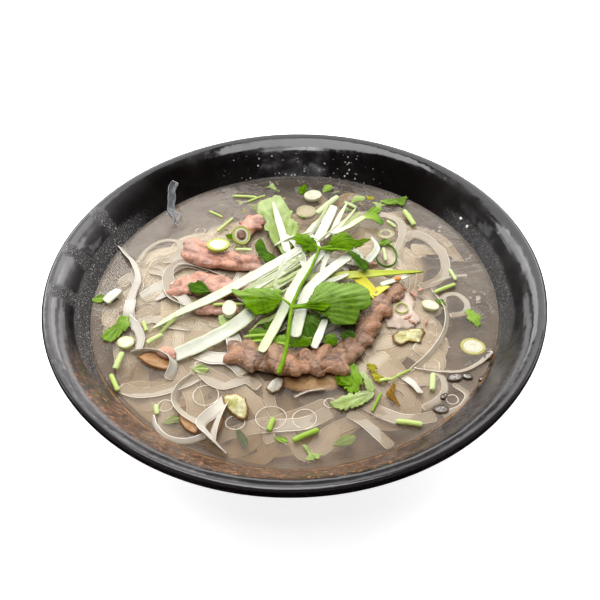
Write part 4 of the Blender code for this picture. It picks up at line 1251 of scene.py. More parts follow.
# ---------------------------------------------------------------- scallion

def shred(name, stands_for, width, thickness, green, taper, tilt, twist, hollow, seed, places, wobble=0.10,
          yellow=0.0):
    """A strip cut from a scallion; green is its share of green at its two ends."""
    slot = "scallion_yellow" if yellow or green[1] > 0.5 else "scallion_white"
    band("shred_" + name, all_over_soup(places), width, thickness, "scallion", 10 * len(places), 9,
         tilt, twist, hollow, taper, wobble, green, yellow, False, seed, stands_for=stands_for)


def scallion_strips():
    """The shreds of the CAD model at the same places, and finer ones between them."""
    rows = [  # name, width, thickness, green, taper, tilt, twist, route
        ("long", 5.2, 1.2, (0.22, 0.02), (0.12, 0.9), -6, 10,
         [(-65.5, -17, 1.0), (-54, -9.5, 2.8), (-37, -2.0, 5.6), (-18, 9.0, 8.4), (5, 25.5, 10.2)]),
        ("broad", 6.8, 1.4, (0.06, 0.18), (0.95, 0.8), -14, 16,
         [(-55, -35, 1.7), (-40.5, -28, 3.0), (-29, -21.5, 4.8), (-19, -12.5, 6.2), (-9, 2, 7.0)]),
        ("back", 4.0, 1.2, (0.20, 0.04), (0.16, 1.0), 10, 0,
         [(-9.5, 65, 7.0), (-5.5, 43, 7.6), (-2.5, 25, 8.0)]),
        ("tall", 4.8, 1.2, (0.10, 0.05), (0.9, 1.0), 12, -10,
         [(22, 61, 6.4), (17.5, 47.5, 7.3), (12.5, 33, 8.4)]),
        ("thin", 2.6, 1.0, (0.26, 0.10), (0.15, 1.0), 0, 20, [(29, 65, 5.2), (24, 52, 6.2), (19.5, 39, 7.2)]),
        ("short", 4.2, 1.1, (0.12, 0.16), (0.9, 0.9), 14, 0,
         [(13, 49, 5.2), (10, 43.5, 5.8), (6.5, 37, 6.3)]),
        ("fan_right", 4.0, 1.0, (0.30, 0.10), (0.8, 1.0), -8, 0,
         [(37, 53, 5.4), (28, 45, 6.2), (19.8, 36, 9.6)]),
        ("curled", 3.4, 1.1, (0.04, 0.04), (0.2, 1.0), 30, -20,
         [(39.5, 38, 4.6), (41.5, 29, 5.4), (36, 19, 5.8)]),
        ("stub", 3.6, 1.1, (0.05, 0.05), (0.8, 0.9), 10, 10,
         [(30, 28.5, 5.4), (32.5, 22.5, 5.6), (30.5, 17, 5.6)]),
        ("steep", 4.8, 1.2, (0.04, 0.26), (0.9, 0.9), 8, -14,
         [(15, 22.5, 11.0), (6.5, 10, 10.6), (-1, -4.5, 9.8), (-7.5, -22, 8.9), (-15, -39, 7.7)]),
        ("wide", 5.8, 1.3, (0.02, 0.14), (1.0, 0.9), -8, 8,
         [(29, 21, 9.4), (18, 10, 9.9), (8, -2, 9.9), (3.5, -15, 9.6), (0, -31, 8.0)]),
        ("front", 3.8, 1.1, (0.10, 0.04), (0.7, 0.8), 0, 30,
         [(14, -21, 8.6), (11, -29.5, 8.2), (8, -37, 7.2)]),
        ("orange_tip", 2.4, 0.9, (0.02, 0.02), (1.0, 0.3), 0, 30,
         [(41, 3.4, 5.4), (50, 7.2, 5.0), (58.5, 12.0, 3.8)]),
        ("chunk_left", 4.8, 1.8, (0.04, 0.04), (0.9, 0.9), 0, 20,
         [(-89, 1.0, 1.3), (-86, 4.5, 2.1), (-83.5, 8.5, 1.4)]),
    ]
    for index, (name, *sizes, places) in enumerate(rows):
        shred(name, "strip_" + name, *sizes, 0.22, 20 + index, places)
    # The sizes are width, thickness, green, taper, tilt, twist, hollow and seed.
    for name, stands_for, yellow, *sizes, places in (
        ("yellow_end", "strip_yellow_end", 0.95, 5.0, 1.0, (0.3, 0.3), (0.9, 0.95), -10, 24, 0.25, 61,
         [(29.5, 9.5, 6.4), (33.5, 4.0, 6.2), (36.5, -1.5, 5.6), (39, -4.5, 4.8)]),
        ("yellow_tab", None, 0.8, 6.4, 0.9, (0.3, 0.3), (0.9, 0.9), 24, 10, 0.15, 64,
         [(36.5, -3.5, 5.4), (40.0, -0.5, 5.6), (43.5, 2.5, 5.2)]),
        ("pointed", "strip_pointed", 0.42, 4.2, 1.1, (0.16, 0.78), (0.6, 0.06), -12, 20, 0.30, 62,
         [(-2, 6.0, 7.9), (12.5, 7.4, 7.8), (28, 8.6, 7.2), (46, 10.4, 6.2), (62, 12.0, 4.8)]),
        ("green_end", "strip_green_end", 0.0, 4.2, 1.0, (0.55, 0.98), (0.9, 0.4), -16, 0, 0.35, 63,
         [(37, 54.4, 4.6), (42, 54, 4.6), (46, 49.5, 3.2)]),
    ):
        shred(name, stands_for, *sizes, places, yellow=yellow)
    fine = [  # width, green, route
        (2.0, (0.26, 0.08), [(-33, 1, 5.2), (-17, 10, 8.0), (0, 21, 9.8)]),
        (2.6, (0.10, 0.20), [(-24, -3, 5.4), (-12, 6, 7.6), (3, 17, 9.4)]),
        (1.8, (0.40, 0.14), [(-20, -9, 5.4), (-8, 1, 7.4), (8, 12, 9.0)]),
        (2.6, (0.04, 0.10), [(-14, 14, 8.6), (-4, 19, 9.8), (9, 30, 10.6)]),
        (2.2, (0.30, 0.10), [(-26, -22, 4.6), (-17, -14, 6.2), (-6, -6, 7.8)]),
        (1.6, (0.34, 0.12), [(33, 61, 4.2), (26, 48, 6.4), (16, 34, 8.4)]),
        (2.6, (0.06, 0.12), [(8, 42, 6.2), (12, 30, 8.8), (14, 16, 9.6)]),
        (3.2, (0.10, 0.05), [(-3, 39, 7.0), (3, 26, 9.0), (5, 12, 9.4)]),
        (2.4, (0.03, 0.12), [(22, 30, 9.4), (16, 18, 10.0), (12, 4, 9.4)]),
        (2.0, (0.34, 0.18), [(-12, -20, 6.6), (-4, -12, 7.8), (6, -4, 8.6)]),
        (2.8, (0.08, 0.14), [(26, 8, 8.4), (14, 1, 9.0), (2, -8, 8.6)]),
        (1.8, (0.20, 0.06), [(-9, 30, 8.0), (-1, 35, 8.8), (9, 39, 8.4)]),
        (2.0, (0.10, 0.30), [(1.5, 17.5, 10.2), (-8.5, 9, 8.8), (-23, 1, 6.4)]),
        (1.6, (0.30, 0.40), [(5, 11.5, 10.2), (-4, 5, 9.2), (-15, 0, 7.6)]),
        (4.4, (0.06, 0.22), [(-3.5, 18.5, 9.8), (-6, 8.5, 9.0), (-8.5, -0.5, 8.0)]),
        (2.2, (0.34, 0.44), [(-3.5, -15, 9.0), (-10, -18, 7.8), (-16.5, -20.5, 6.4)]),
        (2.2, (0.16, 0.24), [(9.5, 26.5, 9.6), (3.5, 17.5, 10.2), (-4, 14, 9.4)]),
        (2.2, (0.40, 0.16), [(35, 58, 4.6), (28, 47, 6.2), (18, 37, 8.0)]),
        (1.8, (0.30, 0.10), [(19, 64, 5.6), (15, 52, 6.6), (9, 38, 7.8)]),
        (1.8, (0.30, 0.44), [(-45, -4, 4.4), (-53, -9, 2.6), (-61.5, -19.5, 1.0)]),
        (1.4, (0.20, 0.34), [(-40, -5, 4.8), (-50, -8, 2.8), (-57, -13, 1.2)]),
        (3.2, (0.05, 0.12), [(24, 34, 8.6), (19, 26, 9.6), (14, 20, 10.4)]),
        (1.6, (0.26, 0.30), [(4, 34, 8.6), (8, 24, 10.2), (9, 14, 10.0)]),
        (1.6, (0.36, 0.20), [(-20, -24, 5.0), (-13, -16, 6.6), (-5, -9, 8.2)]),
        (3.0, (0.05, 0.10), [(-26, 0, 5.4), (-12, 9, 8.0), (3, 20, 9.6)]),
        (3.4, (0.06, 0.12), [(-16, 0, 6.4), (-6, 7, 8.2), (4, 15, 9.2)]),
        (3.6, (0.04, 0.10), [(1, 30, 8.8), (6, 20, 9.4), (6, 8, 8.8)]),
        (3.4, (0.05, 0.12), [(18, 27, 9.0), (12, 16, 9.4), (6, 4, 9.0)]),
        (3.6, (0.08, 0.16), [(-21, -17, 5.2), (-12, -8, 6.8), (-2, 0, 8.0)]),
        (3.0, (0.06, 0.12), [(26, 50, 5.4), (20, 41, 7.0), (12, 31, 8.6)]),
    ]
    for index, (width, green, places) in enumerate(fine):
        shred("fine_%02d" % index, None, width, 0.8, green, (0.5, 0.6), -6 + 3 * index, 16, 0.2, 80 + index,
              places, 0.2)


def slice_piece(name, stands_for, centre, length, width, thickness, green, turn, tilt, hole, seed,
                material="scallion_slice", slot="scallion_white"):
    """A cut slice of scallion with rings in its face; hole is the open share of its radius."""
    heading = math.radians(turn)
    lean = math.radians(tilt)
    forward = Vector((math.cos(heading), math.sin(heading), 0.0))
    across = Vector((-math.sin(heading), math.cos(heading), 0.0))
    across = across * math.cos(lean) + Vector((0.0, 0.0, 1.0)) * math.sin(lean)
    upward = forward.cross(across)
    segments = 56
    face = [hole + (1.0 - hole) * share for share in (0.02, 0.15, 0.3, 0.42, 0.55, 0.68, 0.80, 0.90, 0.96)]
    outline = [(share, 1.0) for share in face]
    outline += [(0.99, 0.88), (1.0, 0.6), (1.0, 0.35), (0.98, 0.12), (0.94, 0.0)]
    outline += [(share, 0.0) for share in reversed(face[:-1])]
    shape = Shape()
    for share, level in outline:
        for segment in range(segments):
            angle = math.tau * segment / segments
            circle = Vector((math.cos(angle) * 1.6, math.sin(angle) * 1.6, seed * 1.7))
            reach = 1.0 + 0.05 * noise.noise(circle)
            dome = 0.10 * math.cos(share * 20.0) * (level - 0.5) * 2.0 if 0.05 < share < 0.95 else 0.0
            place = over_soup(*centre) + forward * 0.5 * length * MM * share * reach * math.cos(angle)
            place += across * 0.5 * width * MM * share * reach * math.sin(angle)
            place += upward * (thickness * level + dome) * MM
            shape.add(place, core=share, green=green, grain=tuple(place))
    rows = len(outline)
    faces = grid_faces(rows, segments, loop=True) if hole else closed_faces(rows, segments)
    add_piece(name, shape, faces, material, stands_for, sharp=60)


def scallion_slices():
    """Cut slices, a curl, a shell and a ring of leek."""
    for row in (  # name, CAD solid, centre, length, width, thickness, green, turn, tilt, hole, seed, look
        ("on_beef", "scallion_on_beef", (-36.5, 31.5, 7.2), 11.6, 9.0, 1.7, 1.0, 0, 0, 0.0, 1),
        ("back", "scallion_back", (11.5, 76, 0.7), 9.5, 8.0, 1.8, 0.1, 10, 0, 0.0, 2, "dim_slice"),
        ("bulb", "scallion_bulb", (-29.7, -12, 6.3), 6.6, 9.6, 2.4, 0.15, 0, 0, 0.0, 3),
        ("left", "scallion_left", (-76.5, -25.5, 1.0), 7.6, 7.2, 1.4, 0.55, 0, 0, 0.0, 4),
        ("right", "scallion_right", (79.4, -32.2, -0.9), 11.4, 9.8, 1.1, 1.0, -20, 0, 0.0, 5, "dim_slice"),
        ("mid_right", "scallion_mid_right", (63.5, -7, 0.2), 8.6, 5.6, 1.6, 0.35, -30, 0, 0.0, 6),
        ("ring_back", "scallion_ring_back", (-26, 43, 3.6), 9.2, 9.6, 2.8, 1.0, 20, 38, 0.55, 7,
         "scallion_slice", "scallion_green"),
        ("ghost_back", None, (7.6, 66.6, -1.6), 10.5, 9.5, 1.0, 0.3, 0, 0, 0.0, 8),
        ("yellow_ring", None, (47.7, 46.5, -1.3), 9.0, 7.6, 1.0, 0.6, 0, 0, 0.5, 9),
        ("small_ring", None, (46, 13, 3.2), 6.0, 5.0, 1.2, 0.4, 0, 10, 0.5, 10),
        ("by_fat", None, (49.8, -9, 1.6), 6.4, 6.2, 0.8, 0.9, 10, 6, 0.82, 11),
    ):
        slice_piece("slice_" + row[0], *row[1:])
    curl = [(-31.8, -58.2, 1.8), (-27, -57.5, 2.6), (-22, -60.5, 2.8), (-20.5, -65.5, 2.2), (-21.5, -70, 1.0),
            (-25.5, -69, 0.8), (-30, -64, 1.0)]
    patch("curl_front", "scallion_curl_front", "rind", "scallion_green", 1.1, 0.8, 12, 1.0, curl)
    shell = [(-13.4, -54.1, 0.7), (-11.4, -50.4, 1.0), (-8.0, -47.9, 1.2), (-5.5, -49.3, 1.1),
             (-6.5, -53.7, 0.8), (-10.0, -56.1, 0.7)]
    patch("shell_front", None, "shell", "scallion_white", 0.5, 0.4, 14, 0.7, shell)
    turns = [math.tau * step / 12 for step in range(13)]
    leek = all_over_soup([(46 + 5.2 * math.cos(turn), 28 + 8.2 * math.sin(turn), 1.5) for turn in turns])
    band("leek_ring_right", leek, 1.6, 0.7, "scallion", 72, 5, tilt=80, wobble=0.2,
         green=(0.90, 0.95), sink=False, seed=13)


def bowed(start, end, rise):
    """Start, raised middle and end of a short stalk."""
    middle = [(a + b) / 2 for a, b in zip(start, end)]
    return [start, (middle[0], middle[1], middle[2] + rise), end]


def stalks():
    """Short lengths of coriander stalk and scallion that float on the soup: start, end, radius, green."""
    rows = [
        ("back", (24.5, 74, 2.0), (13, 59, 3.4), 1.7, 0.28),
        ("right_back", (58.5, 62, 1.4), (62.5, 50.5, 1.4), 1.4, 0.40),
        ("front", (-2, -82, 1.5), (8.5, -77, 1.5), 1.3, 0.66),
        ("right", (59.5, -48.5, 1.2), (58, -57.5, 1.2), 1.3, 0.34),
        ("front_right", (41, -73.5, 1.2), (51.5, -75.5, 1.2), 1.2, 0.44),
        ("left", (-67, -26, 1.4), (-60.5, -21.0, 1.4), 1.2, 0.36),
        ("left_lower", (-77.5, -31.5, 1.5), (-79.5, -41, 1.5), 1.4, 0.38),
        ("left_edge", (-81, -44, 1.3), (-77, -53, 1.3), 1.1, 0.48),
        ("mid_right", (66.5, 1.5, 1.2), (77, 6.5, 1.2), 1.0, 0.46),
    ]
    for index, (name, start, end, radius, green) in enumerate(rows):
        tube("stem_" + name, bowed(start, end, 0.3), radius, radius, "scallion", 20, 12,
             flat=0.8, lumps=0.12, seed=index, green=green, stands_for="stalk_" + name)
    more = [
        ((-31, 79, 0.6), (-18.5, 77.5, 0.6), 0.9, 0.42), ((-23, 74, 0.4), (-14, 79, 0.4), 0.7, 0.50),
        ((-38, 50.5, 0.8), (-30.5, 60.5, 0.8), 0.9, 0.40), ((76, 17.5, 0.5), (78, 10, 0.7), 1.0, 0.35),
        ((-60, -61, 0.7), (-59, -66, 0.7), 1.2, 0.35), ((17, 55, 4.6), (10, 47, 5.2), 1.2, 0.30),
        ((40.5, -51.5, 1.5), (50, -45.5, 1.0), 0.6, 0.55), ((-12, -76, 0.6), (-10, -70, 0.8), 1.3, 0.60),
        ((45, 32, 2.6), (45.5, 23, 2.6), 1.0, 0.32), ((-28, 31, 5.4), (-20, 30, 5.6), 1.0, 0.34),
        ((-22.5, -27.5, 5.4), (-12.5, -27.5, 6.2), 0.9, 0.62),
        ((-22, -30.5, 5.0), (-12, -30.5, 6.0), 0.8, 0.66), ((-8, -32, 6.0), (-2, -34, 5.6), 0.8, 0.62),
        ((-37.5, -6.5, 5.2), (-23.5, -7.5, 6.0), 0.8, 0.50), ((36, -52, 1.8), (40.5, -51, 1.6), 0.9, 0.40),
        ((36, -58.6, 1.4), (31.5, -67.5, 0.6), 0.7, 0.80), ((-68, -18, 1.0), (-70, -12, 1.0), 1.0, 0.42),
        ((-43, 67, 0.4), (-36, 62, 0.5), 0.7, 0.44), ((28, 71, 0.6), (34, 66, 0.8), 1.0, 0.34),
        ((49, 55, 0.6), (53, 50, 0.6), 0.9, 0.36),
    ]
    for index, (start, end, radius, green) in enumerate(more):
        tube("stem_more_%02d" % index, bowed(start, end, 0.2), radius, radius * 0.9, "scallion",
             16, 10, flat=0.8, lumps=0.12, seed=40 + index, green=green)


# ---------------------------------------------------------------- coriander

def vein_strength(off, on, fade, width, lean, spacing, side_width, side_gap, side_share):
    """Strength of the veins off to the side of and on along a main vein; its width, spacing, gap in mm."""
    main = math.exp(-(off / (width * MM)) ** 2) * fade
    saw = ((on - lean * abs(off)) / (spacing * MM)) % 1.0
    side = math.exp(-((saw - 0.5) / side_width) ** 2) * min(abs(off) / (side_gap * MM), 1.0)
    return max(main, side_share * side)


def add_underside(shape, drop):
    """Repeats the points of a sheet a drop lower, with the same values."""
    shape.points += [point - drop for point in shape.points]
    for key in shape.values:
        shape.values[key] *= 2


def fan_faces(rows, columns):
    """Faces of a thin open grid: its top, its underside and the wall along its border."""
    count = rows * columns
    faces = []
    for face in grid_faces(rows, columns, ring=False):
        faces.append(tuple(reversed(face)))
        faces.append(tuple(index + count for index in face))
    border = list(range(columns))
    border += [row * columns + columns - 1 for row in range(1, rows)]
    border += [(rows - 1) * columns + column for column in reversed(range(columns - 1))]
    border += [row * columns for row in reversed(range(1, rows - 1))]
    for one, two in zip(border, border[1:] + border[:1]):
        faces.append((one, two, two + count, one + count))
    return faces


def leaflet_reach(share, seed):
    """Share of a leaflet's length that its edge reaches, from -1 to 1 across its three lobes."""
    envelope = math.cos(0.47 * math.pi * share) ** 0.65
    lobed = 1.0 - 0.16 * (1.0 - abs(math.cos(1.5 * math.pi * share))) ** 3.0
    bump = abs(math.sin(6.5 * math.pi * (share + 1.0) + 0.7 * math.sin(2.0 * share + seed)))
    toothed = 1.0 - 0.12 * (1.0 - bump) ** 1.6
    return envelope * lobed * toothed * (1.0 + 0.07 * noise.noise(Vector((share * 2.2, seed * 3.1, 0.0))))


def leaf(name, stands_for, material, base, tip, spread_angle, seed):
    """A coriander leaflet: a fan of three rounded lobes with toothed edges and veins, from base to tip."""
    start = over_soup(*base)
    axis = over_soup(*tip) - start
    length = axis.length
    axis.normalize()
    across = axis.cross(Vector((0.0, 0.0, 1.0))).normalized()
    normal = across.cross(axis).normalized()
    wide = math.radians(spread_angle)
    lobe_turns = (-wide * 2.0 / 3.0, 0.0, wide * 2.0 / 3.0)
    turns = 66
    rings = 10
    shape = Shape()
    for ring in range(rings + 1):
        share = max(ring / rings, 0.012) ** 0.9
        for step in range(turns + 1):
            side = 2.0 * step / turns - 1.0
            turn = wide * side
            reach = length * share * leaflet_reach(side, seed)
            forward = reach * math.cos(turn)
            sideways = reach * math.sin(turn)
            main = min(lobe_turns, key=lambda lobe: abs(lobe - turn))
            off = reach * math.sin(turn - main)
            on = reach * math.cos(turn - main)
            vein = vein_strength(off, on, 1.0 - 0.5 * share, 0.28, 1.3, 2.6, 0.10, 0.8, 0.55)
            spot = Vector((forward, sideways, seed * 0.1)) * 95.0
            lift = 0.5 * (noise.noise(spot) + 0.6 * noise.noise(spot * 2.3)) * min(share * 1.6, 1.0)
            lift += 0.4 * share ** 3 * math.sin(7.0 * side + seed)
            lift += 0.4 * share * math.cos(3.0 * math.pi * side) - 0.10 * vein
            place = start + axis * forward + across * sideways + normal * lift * MM
            shape.add(place, grain=(forward, sideways, seed * 0.01), vein=vein, rim=share ** 5)
    add_underside(shape, normal * 0.32 * MM)
    add_piece(name, shape, fan_faces(rings + 1, turns + 1), material, stands_for)


def edge_cut(around, seed, teeth, tooth, lobe):
    """How deep a leaf's edge is cut at a share of the way round it, in millimetres."""
    circle = Vector((math.cos(math.tau * around), math.sin(math.tau * around), 1.7 * seed))
    bump = abs(math.sin(math.pi * teeth * around + 2.2 * noise.noise(circle * 1.8)))
    ragged = max(0.55 + 1.5 * noise.noise(circle * 4.0), 0.12)
    notch = max(noise.noise(circle * 2.6 + Vector((5.0, 0.0, 0.0))), 0.0) * 2.4
    return tooth * ragged * (1.0 - bump) ** 1.2 + lobe * notch


def leaf_sheet(name, stands_for, material, slot, base, seed, ribs, teeth, tooth, lobe, pleat, wave, dome,
               pale, segments, rings, outline):
    """A leaf inside a closed outline in millimetres: toothed and crinkled, its ribs spreading from its base.

    tooth and lobe are how deep its edge is toothed and notched; pleat, wave and dome are how far it folds
    between ribs, ripples and bulges; pale is how much its far half catches the light."""
    edge = through(all_over_soup(outline + outline[:1]), segments)[:-1]
    middle = sum(edge, Vector((0.0, 0.0, 0.0))) / segments
    root = over_soup(*base)
    ahead = (middle - root).to_2d().normalized()

    def turn_of(place):
        away = (place - root).to_2d()
        return math.atan2(ahead.x * away.y - ahead.y * away.x, ahead.dot(away))

    longest = max((border - root).to_2d().length for border in edge)
    far_turns = [turn_of(border) for border in edge if (border - root).to_2d().length > 0.45 * longest]
    low = min(far_turns)
    gap = (max(far_turns) - low) / ribs
    rib_turns = [low + gap * (index + 0.5) for index in range(ribs)]
    nearest_y = min(border.y for border in edge)
    depth = max(max(border.y for border in edge) - nearest_y, MM)
    cuts = []
    for index, border in enumerate(edge):
        cut = edge_cut(index / segments, seed, teeth, tooth, lobe) * MM
        cuts.append(min(cut / max((border - middle).length, MM), 0.5))
    shape = Shape()
    for ring in range(1, rings + 1):
        share = ring / rings
        for border, cut in zip(edge, cuts):
            place = middle.lerp(border, share * (1.0 - cut * share ** 3))
            away = (place - root).to_2d().length
            turn = turn_of(place)
            rib = min(rib_turns, key=lambda other: abs(other - turn))
            off = away * math.sin(turn - rib)
            on = away * math.cos(turn - rib)
            vein = vein_strength(off, on, 1.0 - 0.5 * away / longest, 0.20, 1.2, 1.9, 0.13, 0.6, 0.45)
            crinkle = noise.noise(Vector((turn * 11.0, away * 150.0, seed)))
            crinkle += 0.6 * noise.noise(Vector((turn * 26.0, away * 260.0, seed)))
            ripple = noise.noise(place * 140.0) + 0.5 * noise.noise(place * 330.0)
            lift = dome * (1.0 - share ** 2) - 0.10 * vein
            lift -= pleat * min(away / (9 * MM), 1.0) * math.cos(math.tau * (turn - rib_turns[0]) / gap)
            lift += wave * ripple * min(share * 1.6, 1.0) + 0.20 * crinkle * min(share * 2.0, 1.0)
            place.z += lift * MM
            lit = pale * between(((place.y - nearest_y) / depth - 0.42 + 0.2 * crinkle) / 0.35, 0.0, 1.0)
            shape.add(place, grain=(on, off, seed * 0.01), vein=vein, rim=share ** 5,
                      pale=between(lit + 0.30 * crinkle, 0.0, 1.0))
    add_underside(shape, Vector((0.0, 0.0, 0.32 * MM)))
    add_piece(name, shape, sheet_faces(rings, segments), material, stands_for)


def sprig():
    """The sprig across the top: a stalk, two big leaves at its fork and five at its head."""
    stem = [
        (13, 22.5, 13.1), (11, 15.5, 13.1), (7, 4.5, 13.0), (3.5, -3.0, 13.0), (1.0, -10.5, 12.9),
        (-1.0, -16.5, 12.8), (-2, -24, 12.2), (-3, -32, 10.8), (-4.5, -41, 8.6), (-7.5, -51, 7.0),
    ]
    tube("sprig_stalk", stem, 0.60, 1.10, "stem", 70, 14, lumps=0.06, seed=1,
         stands_for="coriander_sprig")
    petioles = [
        ([(13.0, 21.5, 13.1), (11.5, 23.5, 13.2), (9.5, 25, 13.0)], 0.9, 0.5),
        ([(13.0, 21.5, 13.1), (16, 22.0, 13.4), (19, 23, 13.3)], 0.9, 0.5),
        ([(13.5, 21.3, 13.0), (21, 20.6, 13.2), (27, 19.6, 12.9)], 0.8, 0.5),
        ([(-1.0, -16.5, 12.8), (-3.0, -14.0, 13.0), (-7, -10, 12.8)], 0.8, 0.4),
        ([(-1.2, -17.0, 12.8), (2.0, -17.0, 13.1), (5.5, -17.1, 13.3)], 1.2, 1.1),
    ]
    for index, (route, start, end) in enumerate(petioles):
        tube("sprig_petiole_%d" % index, route, start, end, "stem", 16, 10, flat=0.6,
             seed=5 + index)
    for name, material, *numbers in (  # then the columns of loose_leaves
        ("left", "leaf", (-3.5, -13.5, 12.8), 14, 5, 27, 1.1, 0.8, 0.22, 0.6, 0.9, 0.85, 150, 14,
         [(-5.8, -13.5, 12.8), (-5.6, -9.5, 12.8), (-4.8, -6, 12.8), (-8.6, -4.6, 12.6), (-14.3, -3.5, 12.2),
         (-20, -2.9, 11.6), (-25.3, -2.4, 11.0), (-29, -1.6, 10.4), (-27.2, -6.0, 10.8), (-24.5, -8.2, 11.0),
         (-23.2, -11.0, 11.2), (-22.6, -14.0, 11.2), (-20.3, -17.3, 11.4), (-17.2, -20, 11.4),
         (-14, -20.2, 11.6), (-11, -19, 12), (-8.5, -17.4, 12.5)]),
        ("right", "sheen_leaf", (2, -17.5, 12.8), 15, 11, 42, 1.1, 1.0, 0.16, 0.7, 1.0, 0.75, 216, 18,
         [(6.5, -18.5, 12.8), (5.8, -14.5, 12.8), (6.7, -11.5, 12.9), (8.6, -6.5, 12.9), (11.5, -2.0, 12.9),
         (17, -0.8, 12.8), (24, -1.6, 12.7), (30.5, -3.2, 12.5), (35, -7.5, 12.2), (35.5, -13, 12.0),
         (33.2, -18.0, 12.0), (29.5, -21.6, 12.0), (28.0, -24.5, 12), (27.0, -28.0, 11.8),
         (23.0, -28.2, 11.8), (18.9, -28.7, 11.8), (15.4, -26.0, 12.2), (12.6, -22.5, 12.5),
         (9.5, -20.4, 12.7)]),
        ("tongue", "leaf", (-0.6, -17, 13.0), 18, 3, 5, 0.2, 0.1, 0.2, 0.3, 0.4, 0.0, 84, 8,
         [(-0.6, -15.9, 13.1), (4, -15.6, 13.5), (8.5, -14.8, 13.9), (13.5, -15.6, 14.1), (16.0, -17.6, 14.0),
         (13, -20.8, 13.9), (8, -19.4, 13.7), (3.5, -18.4, 13.4), (-0.6, -18.3, 13.1)]),
        ("head_left", "leaf", (12, 22, 13.1), 11, 3, 13, 1.4, 1.0, 0.2, 0.6, 0.7, 0.25, 120, 14,
         [(12, 22, 13.1), (10.5, 19.8, 13), (5, 20.5, 13), (3.8, 23.5, 13), (1.5, 26, 12.8),
         (-0.5, 30.5, 12.6), (1.5, 33.2, 12.6), (5, 33.8, 12.8), (8.5, 31.5, 13), (11.5, 27, 13.1)]),
        ("head_right", "leaf", (15, 21.5, 13.1), 12, 3, 15, 1.2, 1.0, 0.2, 0.7, 0.9, 0.3, 132, 14,
         [(14, 21, 13.1), (16, 24.5, 13.2), (18, 28, 13.2), (21.5, 32.2, 13), (24.5, 33.4, 13),
         (27.5, 33.2, 12.9), (30, 30.5, 12.7), (31, 28, 12.6), (30.5, 23.5, 12.7), (28, 20.6, 12.9),
         (22.5, 19.6, 13), (18, 19.3, 13.1)]),
        ("head_tip", "leaf", (28.5, 24, 12.8), 17, 3, 9, 0.9, 0.7, 0.25, 0.4, 0.4, 0.0, 90, 9,
         [(29, 27, 12.8), (33, 28.8, 12.5), (38, 29.2, 12.2), (35.5, 25.5, 12.2), (33.5, 23.6, 12.3),
         (29.5, 21.6, 12.6)]),
        ("fold", "deep_leaf", (26, 20.5, 12.9), 13, 3, 13, 0.9, 0.7, 0.3, 0.5, 0.5, 0.0, 110, 10,
         [(26, 20.5, 12.9), (29.5, 19.2, 12.6), (32.5, 16.5, 12.1), (35.5, 13, 11.6), (35.5, 9.5, 11.1),
         (33.5, 7, 11.0), (31, 9.5, 11.6), (29, 13.5, 12.1), (27, 17, 12.6)]),
    ):
        leaf_sheet("sprig_leaf_" + name, None, material, "leaf_green", *numbers)


